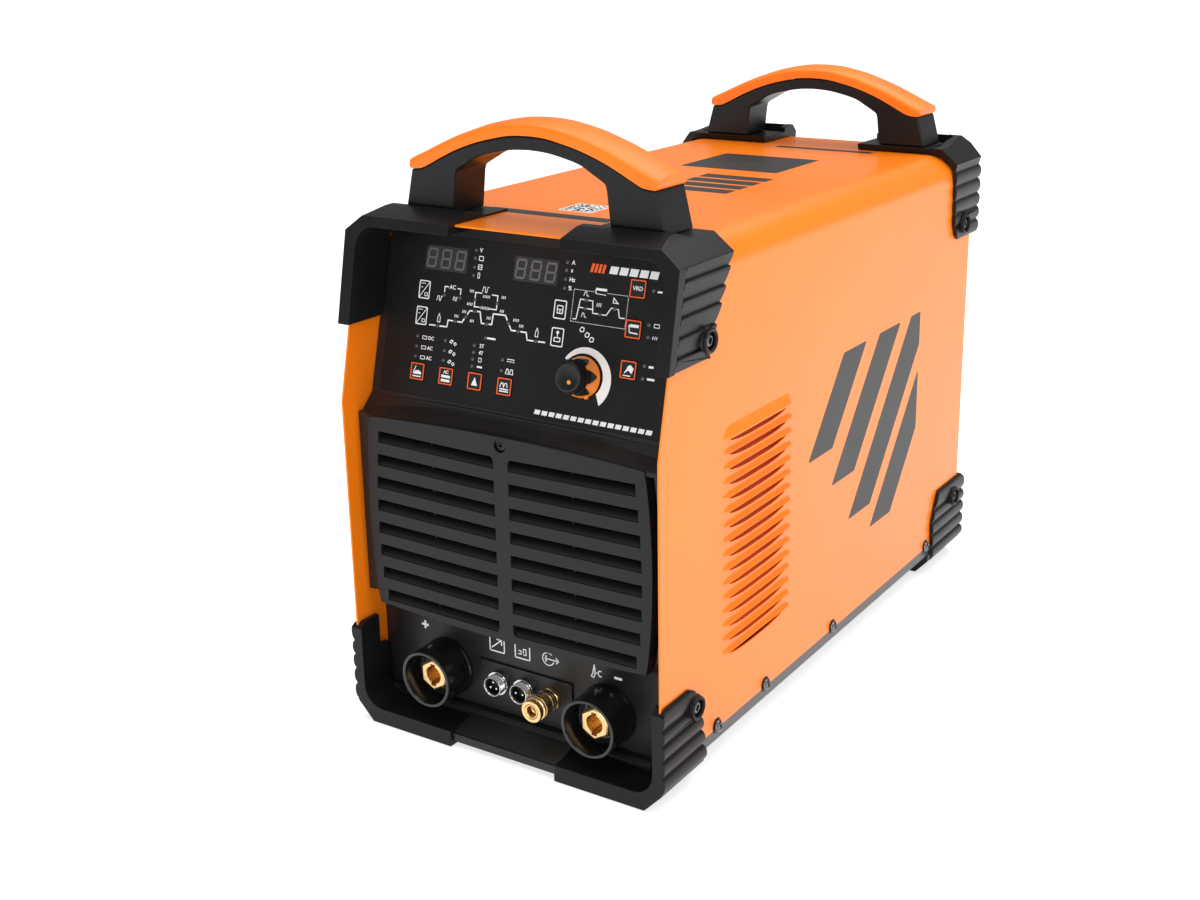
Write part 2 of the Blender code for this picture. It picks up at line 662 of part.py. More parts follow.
for place, y0 in HANDLE_Y.items():
    low = mirrored([(x, z - GAP) for x, z in GRIP_LOW])
    foot = RIDGE_BACK[1][1] + GAP if place == "front" else 366.4
    inner = [(-66.5, foot), (-63.5, 393.2), (-51.6, 399.7), (-42, 404.8), (-26, 408.9), (-13, 411), (0, 411.7), (13, 411), (26, 408.9), (42, 404.8), (51.6, 399.7), (63.5, 393.2), (66.5, foot)]
    frame = [(-109, foot)] + low + [(109, foot)] + inner[::-1]
    handle = to_object(f"handle_frame_{place}", prism_y(frame, y0 + 0.5, y0 + HANDLE_DEEP - 0.5), BLACK)
    if place == "front":  # its feet straddle the back slope of the bumpers' ridge
        (ya, za), (yb, zb) = RIDGE_BACK
        cut(handle, prism_x([(40, 350), (40, za + 0.32), (ya, za + 0.32), (yb, zb + 0.32), (yb, 350)], -120, 120))
    bm = bmesh.new()
    rows = []
    for dy, up in CROWN:
        pull = 1.5 if dy in (0.0, HANDLE_DEEP) else 0.0
        under = [(x * (1 - pull / 200), z) for x, z in mirrored(GRIP_LOW)]
        over = [(x * (1 - pull / 200), z + up) for x, z in mirrored(GRIP_HIGH)]
        rows.append([bm.verts.new(at(x, y0 + dy, z)) for x, z in under + over[::-1]])
    for a, b in zip(rows, rows[1:]):
        for i in range(len(a)):
            k = (i + 1) % len(a)
            bm.faces.new((a[i], a[k], b[k], b[i]))
    for row in (rows[0], rows[-1]):
        n = len(row) // 2
        for i in range(n - 1):
            bm.faces.new((row[i], row[i + 1], row[2 * n - 2 - i], row[2 * n - 1 - i]))
    to_object(f"handle_grip_{place}", bm, GRIP)

# ---- bolts and cover screws ---------------------------------------------------------------
for place, (y, z) in BOLTS.items():
    for hand, side in (("left", -1), ("right", 1)):
        bolt = to_object(
            f"bolt_{place}_{hand}",
            turned(
                [(0, -7.2), (2.6, -7.2), (2.6, -5.2), (4.2, -5.2), (4.2, -0.9), (2.6, -0.9), (2.6, 3.3), (5.0, 3.3), (5.0, 5.9), (4.4, 6.5), (0, 6.5)],
                at(side * 135, y, z),
                Vector((side, 0, 0)),
                12,
            ),
            STEEL,
        )
        cut(bolt, turned([(2.6, 4.2), (2.6, 9)], at(side * 135, y, z), Vector((side, 0, 0)), 6))

for hand, side in (("left", -1), ("right", 1)):
    x0, x1 = sorted((side * 128.2, side * 132.2))
    rail = to_object(f"cover_screws_{hand}", block(x0, x1, 66, 482, -4, 9), STEEL)
    for y in SCREW_Y:
        screw = turned([(0, -3.5), (2.2, -3.5), (2.2, 1.4), (5.2, 1.4), (5.2, 2.6), (3.6, 4.1), (0, 4.1)], at(side * 135, y, SCREW_Z), Vector((side, 0, 0)), 10)
        join(rail, screw)
    recess = bmesh.new()
    for y in SCREW_Y:
        block(min(side * 138.0, side * 141), max(side * 138.0, side * 141), y - 0.5, y + 0.5, SCREW_Z - 2.6, SCREW_Z + 2.6, recess)
    cut(rail, recess)


# ---- rear panel and what it carries -------------------------------------------------------
BREAKER_X, BREAKER_Z = 62.0, 285.0
GLAND_X, GLAND_Z = -66.0, 262.0
INLET_X, INLET_Z = -8.0, 262.0
hull = [(x, z) for x, z in cover_outline(COVER_SHEET + 0.5, -8.7)]
rear_panel = to_object("rear_panel", prism_y(hull, REAR_Y, REAR_Y + 1.5), GREY)
rear_holes = bmesh.new()
add_turned(rear_holes, [(64, -5), (64, 5)], at(0, REAR_Y, FAN_Z), BACKWARD, 36)
block(BREAKER_X - 26.8, BREAKER_X + 26.8, REAR_Y - 5, REAR_Y + 5, BREAKER_Z - 22.8, BREAKER_Z + 22.8, rear_holes)
add_turned(rear_holes, [(10.3, -5), (10.3, 5)], at(GLAND_X, REAR_Y, GLAND_Z), BACKWARD, 20)
add_turned(rear_holes, [(6.6, -5), (6.6, 5)], at(INLET_X, REAR_Y, INLET_Z), BACKWARD, 16)
for side in (-1, 1):
    add_turned(rear_holes, [(4.6, -5), (4.6, 5)], at(side * 60.5, REAR_Y, FAN_Z - 60.5), BACKWARD, 8)
cut(rear_panel, rear_holes)

# axial fan: square frame, motor carried on four struts, guard outside
F0, F1 = 472.0, REAR_Y - GAP
fan_frame = to_object("fan_frame", block(-69, 69, F0, F1, FAN_Z - 69, FAN_Z + 69), BLACK)
cut(fan_frame, turned([(64, -2), (64, F1 - F0 + 2)], at(0, F0, FAN_Z), BACKWARD, 36))
for k in range(2):
    bar = bmesh.new()
    quat = Matrix.Rotation(math.radians(45 + 90 * k), 4, "Y")
    verts = [(-66, 0, -3), (66, 0, -3), (66, 0, 3), (-66, 0, 3)]
    centre = at(0, F0, FAN_Z)
    add_prism(bar, [centre + (quat @ Vector(v)) * MM for v in verts], Vector((0, 4 * MM, 0)))
    join(fan_frame, bar)
join(fan_frame, turned([(24, 0), (24, 5.5), (4.5, 5.5), (4.5, 14), (0, 14), (0, 0)][::-1] + [(0, 0)][:0], at(0, F0, FAN_Z), BACKWARD, 20))
cut(fan_frame, turned([(2.4, 4.5), (2.4, 20)], at(0, F0, FAN_Z), BACKWARD, 12))

rotor_at = at(0, F0 + 20, FAN_Z)
rotor = to_object(
    "fan_rotor",
    turned(
        [(0, -13), (2.0, -13), (2.0, 8), (23.5, 8), (23.5, -13.5), (26, -13.5), (26, 10), (24.5, 11), (0, 11)],
        rotor_at,
        BACKWARD,
        20,
    ),
    BLACK,
    origin=rotor_at,
)
for k in range(7):
    blade = bmesh.new()
    turn = Matrix.Rotation(2 * math.pi * k / 7, 4, "Y")
    rows = []
    for r, pitch, half in ((25.0, 50, 13.5), (44.0, 38, 15.5), (61.5, 28, 17.0)):
        a = math.radians(pitch)
        row = []
        for c, t in ((-half, -0.8), (half, -0.8), (half, 0.8), (-half, 0.8)):
            row.append(Vector((c * math.cos(a) - t * math.sin(a), c * math.sin(a) + t * math.cos(a), r)))
        rows.append([blade.verts.new(rotor_at + (turn @ v) * MM) for v in row])
    for p, q in zip(rows, rows[1:]):
        for i in range(4):
            blade.faces.new((p[i], p[(i + 1) % 4], q[(i + 1) % 4], q[i]))
    blade.faces.new(rows[0])
    blade.faces.new(rows[-1])
    join(rotor, blade)

G0 = REAR_Y + 1.5 + GAP
guard = to_object("fan_guard", block(-70, 70, G0, G0 + 2.4, FAN_Z - 70, FAN_Z + 70), STEEL)
cut(guard, turned([(64, -2), (64, 6)], at(0, G0, FAN_Z), BACKWARD, 32))
for k in range(3):
    bar = bmesh.new()
    quat = Matrix.Rotation(math.radians(30 + 60 * k), 4, "Y")
    verts = [(-67, 0, -1.4), (67, 0, -1.4), (67, 0, 1.4), (-67, 0, 1.4)]
    centre = at(0, G0, FAN_Z)
    add_prism(bar, [centre + (quat @ Vector(v)) * MM for v in verts], Vector((0, 2.4 * MM, 0)))
    join(guard, bar)
for r in (17.0, 29.0, 41.0, 53.0):
    join(guard, turned([(r - 1.3, 1.6), (r + 1.3, 1.6), (r + 1.3, 4.4), (r - 1.3, 4.4), (r - 1.3, 1.6)], at(0, G0, FAN_Z), BACKWARD, 24))

# two-pole breaker used as the mains switch
breaker = to_object("mains_breaker", block(BREAKER_X - 26.5, BREAKER_X + 26.5, REAR_Y - 52, REAR_Y + 8, BREAKER_Z - 22.5, BREAKER_Z + 22.5), BLACK)
join(breaker, block(BREAKER_X - 31, BREAKER_X + 31, REAR_Y + 1.8, REAR_Y + 4.6, BREAKER_Z - 29, BREAKER_Z + 29))
hinge = at(BREAKER_X, REAR_Y + 3.0, BREAKER_Z)
cut(
    breaker,
    block(BREAKER_X - 14.3, BREAKER_X + 14.3, REAR_Y - 8.5, REAR_Y + 12, BREAKER_Z - 11.3, BREAKER_Z + 11.3),
    turned([(2.4, -18), (2.4, 18)], hinge, Vector((1, 0, 0)), 12),
)
toggle = to_object("breaker_toggle", turned([(9.8, -14), (9.8, 14)], hinge, Vector((1, 0, 0)), 20), BLACK, origin=hinge)
lever = bmesh.new()
tilt = Matrix.Rotation(math.radians(-28), 4, "X")
corners = [(-12, 5, -2.6), (12, 5, -2.6), (12, 5, 2.6), (-12, 5, 2.6)]
add_prism(lever, [hinge + (tilt @ Vector(c)) * MM for c in corners], (tilt @ Vector((0, 13, 0))) * MM)
join(toggle, lever, turned([(2.0, -17.5), (2.0, 17.5)], hinge, Vector((1, 0, 0)), 12))

to_object(
    "cable_gland",
    turned(
        [
            (6.2, -16), (9.9, -16), (9.9, -7), (13.5, -7), (13.5, -0.4), (9.9, -0.4), (9.9, 1.9), (15.5, 1.9), (15.5, 8),
            (14.2, 8.6), (14.2, 20), (12.0, 25), (8.0, 27), (6.2, 27), (6.2, -16),
        ],
        at(GLAND_X, REAR_Y, GLAND_Z),
        BACKWARD,
        18,
    ),
    BLACK,
)
to_object(
    "gas_inlet",
    turned(
        [
            (1.6, -14), (6.2, -14), (6.2, -10), (9.5, -10), (9.5, -4), (6.2, -4), (6.2, 1.9), (9.8, 1.9), (9.8, 8.5), (6.0, 8.5),
            (6.0, 18), (3.2, 19), (4.6, 28), (3.2, 28.4), (4.6, 37), (3.0, 38), (1.6, 38), (1.6, -14),
        ],
        at(INLET_X, REAR_Y, INLET_Z),
        BACKWARD,
        16,
    ),
    BRASS,
)

# ---- inside ------------------------------------------------------------------------------
heat = to_object("inverter_module", block(-98, 98, 128, 348, 62, 70), ALU)
fins = bmesh.new()
for i in range(9):
    x = -92 + 23 * i
    block(x - 1.8, x + 1.8, 130, 346, -8.8, 64, fins)
join(heat, fins)
join(heat, block(-112, 112, 124, 352, 69, 72))
parts_on_board = bmesh.new()
for x, y in ((-60, 170), (-12, 170), (36, 170)):
    add_turned(parts_on_board, [(17, -1), (17, 50)], at(x, y, 72), Vector((0, 0, 1)), 14)
block(-80, 80, 230, 262, 71, 104, parts_on_board)
block(-70, 10, 290, 330, 71, 112, parts_on_board)
block(40, 90, 285, 335, 71, 108, parts_on_board)
join(heat, parts_on_board)

core = to_object("main_transformer", block(-62, 62, 378, 446, -8.8, 92), COPPER)
join(core, block(-46, 46, 364, 458, 8, 76))
cut(core, prism_y([(-40, -20), (-20, -20), (-20, 1), (-40, 1)], 370, 460), prism_y([(20, -20), (40, -20), (40, 1), (20, 1)], 370, 460))

valve = to_object("gas_valve", block(INLET_X - 14, INLET_X + 14, 440, REAR_Y - 16, INLET_Z - 13, INLET_Z + 13), BRASS)
join(valve, turned([(13, -2), (13, 36)], at(INLET_X, 458, INLET_Z + 12), Vector((0, 0, 1)), 16))
bracket = block(INLET_X - 20, INLET_X + 20, 482, REAR_Y - GAP, INLET_Z - 17, INLET_Z - 12)
join(valve, bracket)
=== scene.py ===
"""The looks of a TIG welding machine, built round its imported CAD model.

Stations are millimetres in the cover's own system: x to the right as seen from the front, y backwards
from the cover's front edge, z up from the cover's lower edge. at() turns one into the row frame."""

import math
import random

import bmesh
import bpy
from mathutils import Matrix, Vector


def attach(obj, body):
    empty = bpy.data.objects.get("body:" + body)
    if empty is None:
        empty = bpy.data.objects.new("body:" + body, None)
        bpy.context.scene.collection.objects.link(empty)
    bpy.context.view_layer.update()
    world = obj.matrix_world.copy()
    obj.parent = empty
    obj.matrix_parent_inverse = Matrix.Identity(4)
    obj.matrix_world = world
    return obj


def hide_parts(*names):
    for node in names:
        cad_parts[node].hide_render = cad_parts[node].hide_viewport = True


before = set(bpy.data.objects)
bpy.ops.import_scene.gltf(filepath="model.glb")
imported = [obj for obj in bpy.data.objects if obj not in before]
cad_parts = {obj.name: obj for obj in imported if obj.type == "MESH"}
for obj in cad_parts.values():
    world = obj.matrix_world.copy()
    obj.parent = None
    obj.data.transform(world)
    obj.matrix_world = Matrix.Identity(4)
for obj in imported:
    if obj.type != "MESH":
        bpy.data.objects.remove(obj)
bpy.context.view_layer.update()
scene = bpy.context.scene
MM = 0.001
MID_Y, FOOT = 277.0, 30.0


def at(x, y, z):
    return Vector((x, y - MID_Y, z + FOOT)) * MM


# ============================================================================================
# materials
# ============================================================================================
class Nodes:
    """A small helper for building one node material."""

    def __init__(self, name):
        self.mat = bpy.data.materials.new(name)
        self.mat.use_nodes = True
        self.tree = self.mat.node_tree
        self.bsdf = self.tree.nodes["Principled BSDF"]
        self.coord = self.tree.nodes.new("ShaderNodeTexCoord")

    def new(self, kind, **values):
        n = self.tree.nodes.new(kind)
        for k, v in values.items():
            if k in ("operation", "blend_type", "data_type", "feature", "noise_dimensions", "distance", "interpolation_type", "wave_type", "bands_direction"):
                setattr(n, k, v)
            else:
                n.inputs[k].default_value = v
        return n

    def link(self, a, b):
        self.tree.links.new(a, b)

    def set(self, **values):
        for k, v in values.items():
            self.bsdf.inputs[k.replace("_", " ")].default_value = v
        return self

    def scaled(self, x, y, z):
        m = self.new("ShaderNodeMapping")
        m.inputs["Scale"].default_value = (x, y, z)
        self.link(self.coord.outputs["Object"], m.inputs["Vector"])
        return m.outputs["Vector"]

    def noise(self, scale, detail=2.0, rough=0.5, vector=None):
        n = self.new("ShaderNodeTexNoise", Scale=scale, Detail=detail, Roughness=rough)
        self.link(vector or self.coord.outputs["Object"], n.inputs["Vector"])
        return n.outputs["Fac"]

    def ramp(self, fac, *stops):
        r = self.tree.nodes.new("ShaderNodeValToRGB")
        els = r.color_ramp.elements
        while len(els) < len(stops):
            els.new(0.5)
        for e, (pos, col) in zip(els, stops):
            e.position = pos
            e.color = col if len(col) == 4 else (*col, 1)
        self.link(fac, r.inputs["Fac"])
        return r.outputs["Color"]

    def span(self, fac, lo, hi, lo_in=0.0, hi_in=1.0):
        m = self.new("ShaderNodeMapRange")
        m.inputs["From Min"].default_value = lo_in
        m.inputs["From Max"].default_value = hi_in
        m.inputs["To Min"].default_value = lo
        m.inputs["To Max"].default_value = hi
        self.link(fac, m.inputs["Value"])
        return m.outputs["Result"]

    def maths(self, op, a, b=None):
        n = self.tree.nodes.new("ShaderNodeMath")
        n.operation = op
        for i, v in enumerate((a, b)):
            if v is None:
                continue
            if isinstance(v, (int, float)):
                n.inputs[i].default_value = v
            else:
                self.link(v, n.inputs[i])
        return n.outputs[0]

    def bump(self, height, strength, distance):
        b = self.new("ShaderNodeBump", Strength=strength, Distance=distance)
        self.link(height, b.inputs["Height"])
        last = getattr(self, "last_bump", None)
        if last is not None:
            self.link(last, b.inputs["Normal"])
        self.last_bump = b.outputs["Normal"]
        self.link(self.last_bump, self.bsdf.inputs["Normal"])
        return self

    def to(self, out, socket):
        self.link(out, self.bsdf.inputs[socket])
        return self


def plastic(name, rgb, rough, grain=1600.0, grain_strength=0.25, variation=0.12, spec=0.5, coat=0.0, fleck=0.0):
    """Moulded plastic or rubber: fine grain, slight cloudiness in tone and gloss."""
    n = Nodes(name)
    cloud = n.noise(26.0, 3.0)
    fine = n.noise(grain, 2.0, 0.6)
    lo = tuple(c * (1 - variation) for c in rgb)
    hi = tuple(min(1.0, c * (1 + variation) + 0.0004) for c in rgb)
    colour = n.ramp(cloud, (0.3, lo), (0.7, hi))
    if fleck:
        dots = n.noise(grain * 0.8, 1.0, 0.4)
        mix = n.tree.nodes.new("ShaderNodeMix")
        mix.data_type = "RGBA"
        n.link(n.span(dots, 0.0, 1.0, 0.62, 0.75), mix.inputs["Factor"])
        n.link(colour, mix.inputs[6])
        mix.inputs[7].default_value = (*[c + fleck for c in rgb], 1)
        colour = mix.outputs[2]
    n.to(colour, "Base Color")
    n.to(n.span(n.maths("ADD", n.maths("MULTIPLY", fine, 0.5), n.maths("MULTIPLY", cloud, 0.5)), rough - 0.06, rough + 0.06, 0.3, 0.7), "Roughness")
    n.bump(fine, grain_strength, 0.0002)
    n.set(Specular_IOR_Level=spec, Coat_Weight=coat, Coat_Roughness=0.12)
    return n.mat


def metal(name, rgb, rough, grain=900.0, strength=0.08, stretch=None, variation=0.12):
    n = Nodes(name)
    vec = n.scaled(*stretch) if stretch else None
    fine = n.noise(grain, 2.0, 0.55, vec)
    cloud = n.noise(60.0, 3.0)
    lo = tuple(c * (1 - variation) for c in rgb)
    n.to(n.ramp(cloud, (0.25, lo), (0.65, rgb)), "Base Color")
    n.to(n.span(fine, rough * 0.7, rough * 1.35, 0.3, 0.7), "Roughness")
    n.bump(fine, strength, 0.0001)
    n.set(Metallic=1.0)
    return n.mat


def painted(name, rgb, rough, peel=420.0, peel_strength=0.10, coat=0.6, variation=0.04, spec=0.5):
    """Glossy powder coat: orange peel, fine mottling, clear gloss on top."""
    n = Nodes(name)
    cloud = n.noise(9.0, 2.0)
    peel_n = n.noise(peel, 2.0, 0.5)
    fine = n.noise(2600.0, 1.0)
    lo = tuple(c * (1 - variation) for c in rgb)
    hi = tuple(min(1.0, c * (1 + variation * 0.6)) for c in rgb)
    n.to(n.ramp(cloud, (0.3, lo), (0.7, hi)), "Base Color")
    n.to(n.span(n.maths("ADD", n.maths("MULTIPLY", peel_n, 0.6), n.maths("MULTIPLY", fine, 0.4)), rough - 0.05, rough + 0.06, 0.3, 0.7), "Roughness")
    n.bump(peel_n, peel_strength, 0.00012)
    n.set(Coat_Weight=coat, Coat_Roughness=0.16, Coat_IOR=1.45, Specular_IOR_Level=spec)
    return n.mat


ORANGE = painted("orange_powder_coat", (0.97, 0.212, 0.004), 0.34, coat=0.2, spec=0.32)
SKIRT = painted("orange_knob_plastic", (0.96, 0.26, 0.010), 0.36, peel=700.0, peel_strength=0.05, coat=0.2)
# painted shade: a dark red copy of the orange paint, for the panels behind the louvres so the gaps read as shaded
# inside
RED_SHADE = painted("deep_orange_painted_shade", (0.44, 0.034, 0.002), 0.55, coat=0.0, spec=0.1)
GRIP = plastic("orange_soft_grip", (0.96, 0.195, 0.006), 0.38, grain=900.0, grain_strength=0.06, variation=0.04, spec=0.34)
FASCIA = plastic("black_textured_overlay", (0.0056, 0.0057, 0.0059), 0.50, grain=1500.0, grain_strength=0.30, variation=0.2, spec=0.21, fleck=0.012)
GRILLE = plastic("black_grained_plastic", (0.0090, 0.0091, 0.0094), 0.44, grain=1900.0, grain_strength=0.16, variation=0.12, spec=0.25)
BAY = plastic("black_bay_plastic", (0.0070, 0.0071, 0.0073), 0.40, grain=1900.0, grain_strength=0.13, variation=0.12, spec=0.40)
RUBBER = plastic("black_bumper_rubber", (0.0072, 0.0073, 0.0075), 0.36, grain=1300.0, grain_strength=0.12, variation=0.12, spec=0.19)
HANDLE = plastic("black_handle_plastic", (0.0062, 0.0063, 0.0065), 0.37, grain=1500.0, grain_strength=0.08, variation=0.12, spec=0.27)
GLOSS = plastic("black_gloss_plastic", (0.0050, 0.0050, 0.0053), 0.20, grain=700.0, grain_strength=0.03, variation=0.1, coat=0.2)
CAP = plastic("black_cap_plastic", (0.0058, 0.0058, 0.0060), 0.42, grain=1100.0, grain_strength=0.06, variation=0.12, spec=0.30)
# painted shade: a darker, rougher copy of the grille plastic for the blades inside the slots, so the slots read as
# shaded
SHADED_SLAT = plastic("black_slat_painted_shade", (0.0060, 0.0061, 0.0063), 0.50, grain=1900.0, grain_strength=0.14, variation=0.12, spec=0.24)
# painted shade: a near-black plastic for the plate behind the grille openings, so they read as shaded inside
DARK = plastic("painted_shade_black", (0.0022, 0.0022, 0.0023), 0.8, grain=800.0, grain_strength=0.1, spec=0.1)
WHITE = plastic("white_print", (0.82, 0.83, 0.83), 0.45, grain=2600.0, grain_strength=0.05, variation=0.03)
RED_PRINT = plastic("orange_print", (0.84, 0.115, 0.016), 0.42, grain=2600.0, grain_strength=0.05, variation=0.05)
GREY_PRINT = plastic("grey_side_mark", (0.040, 0.041, 0.042), 0.46, grain=1200.0, grain_strength=0.05, variation=0.07, spec=0.25)
LABEL = plastic("dark_label", (0.030, 0.030, 0.031), 0.42, grain=1800.0, grain_strength=0.06, variation=0.1, spec=0.28)
GREY_SHEET = painted("grey_powder_coat", (0.072, 0.075, 0.078), 0.48, peel=600.0, peel_strength=0.16, coat=0.15, variation=0.08)
BRASS = metal("machined_brass", (0.93, 0.64, 0.30), 0.30, grain=700.0)
CHROME = metal("nickel_plating", (0.72, 0.72, 0.74), 0.10, grain=500.0, strength=0.03, variation=0.06)
STEEL = metal("black_oxide_steel", (0.040, 0.040, 0.042), 0.30, grain=1200.0)
BOLT = metal("blackened_bolt_steel", (0.16, 0.16, 0.165), 0.24, grain=1200.0)
ZINC = metal("zinc_plated_steel", (0.30, 0.295, 0.285), 0.25, grain=1200.0)
ALU = metal("extruded_aluminium", (0.62, 0.63, 0.65), 0.34, grain=900.0, stretch=(1, 0.05, 1))
COPPER = metal("enamelled_copper", (0.45, 0.15, 0.05), 0.32, grain=900.0, stretch=(1, 1, 0.1))
BOARD = plastic("green_board", (0.012, 0.075, 0.030), 0.30, grain=900.0, grain_strength=0.1, variation=0.2, coat=0.3)
SEGMENT = plastic("unlit_segment", (0.105, 0.105, 0.110), 0.4, grain=1500.0, grain_strength=0.03, variation=0.06)
LED = plastic("unlit_lamp", (0.055, 0.056, 0.058), 0.25, grain=900.0, grain_strength=0.03, variation=0.1, coat=0.5)
SMOKE = plastic("smoked_window", (0.021, 0.0205, 0.0205), 0.12, grain=600.0, grain_strength=0.02, variation=0.08, coat=0.5)


# ============================================================================================
# shape helpers
# ============================================================================================
def add_prism(bm, points, sweep):
    verts = [bm.verts.new(p) for p in points]
    face = bm.faces.new(verts)
    out = bmesh.ops.extrude_face_region(bm, geom=[face])
    bmesh.ops.translate(bm, vec=sweep, verts=[g for g in out["geom"] if isinstance(g, bmesh.types.BMVert)])
    return bm


def prism_x(yz, x0, x1, bm=None):
    return add_prism(bm or bmesh.new(), [at(x0, y, z) for y, z in yz], Vector(((x1 - x0) * MM, 0, 0)))


def prism_y(xz, y0, y1, bm=None):
    return add_prism(bm or bmesh.new(), [at(x, y0, z) for x, z in xz], Vector((0, (y1 - y0) * MM, 0)))


def prism_z(xy, z0, z1, bm=None):
    return add_prism(bm or bmesh.new(), [at(x, y, z0) for x, y in xy], Vector((0, 0, (z1 - z0) * MM)))


def block(x0, x1, y0, y1, z0, z1, bm=None):
    return prism_z([(x0, y0), (x1, y0), (x1, y1), (x0, y1)], z0, z1, bm)


def loft(rows, closed=True, caps=True, bm=None):
    """Skin through rows of points; each row is a closed loop when closed is true."""
    bm = bm or bmesh.new()
    made = [[bm.verts.new(p) for p in row] for row in rows]
    for a, b in zip(made, made[1:]):
        n = len(a)
        for i in range(n if closed else n - 1):
            k = (i + 1) % n
            bm.faces.new((a[i], a[k], b[k], b[i]))
    if caps:
        bm.faces.new(made[0])
        bm.faces.new(made[-1][::-1])
    return bm


def frame_of(centre, axis):
    return Matrix.Translation(centre) @ axis.normalized().to_track_quat("Z", "Y").to_matrix().to_4x4()


def add_turned(bm, profile, centre, axis, segments=64, turn=0.0, ripple=None):
    """A solid of revolution of (radius, distance) in millimetres. ripple(angle, i) changes point i's radius."""
    frame_m = frame_of(centre, axis)
    rings = []
    for n, (r, d) in enumerate(profile):
        if r < 1e-6:
            rings.append([bm.verts.new(frame_m @ Vector((0, 0, d * MM)))])
            continue
        ring = []
        for i in range(segments):
            a = turn + 2 * math.pi * i / segments
            rr = r + (ripple(a, n) if ripple else 0.0)
            ring.append(bm.verts.new(frame_m @ (Vector((rr * math.cos(a), rr * math.sin(a), d)) * MM)))
        rings.append(ring)
    closed = profile[0] == profile[-1]
    if closed:
        for v in rings.pop():
            bm.verts.remove(v)
    count = len(rings)
    for i in range(count if closed else count - 1):
        a, b = rings[i], rings[(i + 1) % count]
        for j in range(segments):
            k = (j + 1) % segments
            if len(a) == 1 and len(b) == 1:
                continue
            if len(a) == 1:
                bm.faces.new((a[0], b[j], b[k]))
            elif len(b) == 1:
                bm.faces.new((a[j], a[k], b[0]))
            else:
                bm.faces.new((a[j], a[k], b[k], b[j]))
    if not closed:
        for ring in (rings[0], rings[-1]):
            if len(ring) > 1:
                bm.faces.new(ring)
    return bm


def turned(profile, centre, axis, segments=64, turn=0.0, ripple=None):
    return add_turned(bmesh.new(), profile, centre, axis, segments, turn, ripple)


def arc(cx, cy, r, a0, a1, n):
    return [
        (cx + r * math.cos(math.radians(a0 + (a1 - a0) * i / n)), cy + r * math.sin(math.radians(a0 + (a1 - a0) * i / n)))
        for i in range(n + 1)
    ]


def fillet(points, radii, n=5):
    """A closed polygon with its corners rounded; radii is one number or one for each corner."""
    out = []
    count = len(points)
    if isinstance(radii, (int, float)):
        radii = [radii] * count
    for i, (p, r) in enumerate(zip(points, radii)):
        p = Vector(p)
        a = Vector(points[i - 1]) - p
        b = Vector(points[(i + 1) % count]) - p
        if r <= 0 or a.length < 1e-6 or b.length < 1e-6:
            out.append(tuple(p))
            continue
        angle = a.angle(b)
        back = min(r / math.tan(angle / 2), 0.48 * a.length, 0.48 * b.length)
        s, e = p + a.normalized() * back, p + b.normalized() * back
        for k in range(n + 1):
            t = k / n
            out.append(tuple(s * (1 - t) ** 2 + p * 2 * t * (1 - t) + e * t * t))
    return out


def smooth_line(points, steps=4):
    """A smooth open curve through points (Catmull-Rom)."""
    pts = [Vector(p) for p in points]
    pts = [pts[0] * 2 - pts[1]] + pts + [pts[-1] * 2 - pts[-2]]
    out = []
    for i in range(1, len(pts) - 2):
        p0, p1, p2, p3 = pts[i - 1 : i + 3]
        for k in range(steps):
            t = k / steps
            out.append(
                tuple(
                    0.5 * (p1 * 2 + (p2 - p0) * t + (p0 * 2 - p1 * 5 + p2 * 4 - p3) * t * t + (p1 * 3 - p0 - p2 * 3 + p3) * t**3)
                )
            )
    out.append(tuple(pts[-2]))
    return out


def strip(points, thick):
    """The closed outline of an open polyline given a thickness on its right-hand side."""
    normals = []
    for (x0, y0), (x1, y1) in zip(points, points[1:]):
        d = math.hypot(x1 - x0, y1 - y0)
        normals.append(((y1 - y0) / d, -(x1 - x0) / d))
    inner = []
    for i, (x, y) in enumerate(points):
        n0 = normals[max(i - 1, 0)]
        n1 = normals[min(i, len(normals) - 1)]
        bx, by = n0[0] + n1[0], n0[1] + n1[1]
        k = thick * 2 / (bx * bx + by * by)
        inner.append((x + bx * k, y + by * k))
    return list(points) + inner[::-1]


def temp(bm):
    bmesh.ops.remove_doubles(bm, verts=bm.verts, dist=1e-7)
    bmesh.ops.recalc_face_normals(bm, faces=bm.faces)
    mesh = bpy.data.meshes.new("tool")
    bm.to_mesh(mesh)
    bm.free()
    ob = bpy.data.objects.new("tool", mesh)
    scene.collection.objects.link(ob)
    return ob


def boolean(base, operation, *tools):
    """base with each tool's shape added or cut, as a new bmesh."""
    made = [temp(b) for b in (base, *tools)]
    for t in made[1:]:
        m = made[0].modifiers.new("b", "BOOLEAN")
        m.operation, m.solver, m.object = operation, "EXACT", t
    bpy.context.view_layer.update()
    dep = bpy.context.evaluated_depsgraph_get()
    mesh = bpy.data.meshes.new_from_object(made[0].evaluated_get(dep), depsgraph=dep)
    out = bmesh.new()
    out.from_mesh(mesh)
    bpy.data.meshes.remove(mesh)
    for o in made:
        data = o.data
        bpy.data.objects.remove(o, do_unlink=True)
        bpy.data.meshes.remove(data)
    bmesh.ops.remove_doubles(out, verts=out.verts, dist=2e-6)
    bmesh.ops.dissolve_limit(out, angle_limit=math.radians(0.4), verts=out.verts, edges=out.edges)
    return out


def cut(base, *tools):
    return boolean(base, "DIFFERENCE", *tools)


def join(base, *tools):
    return boolean(base, "UNION", *tools)


def meet(base, *tools):
    return boolean(base, "INTERSECT", *tools)


def mirror_copy(bm, mat_index=False):
    out = bm.copy()
    bmesh.ops.scale(out, vec=(-1, 1, 1), verts=out.verts)
    bmesh.ops.reverse_faces(out, faces=out.faces)
    return out


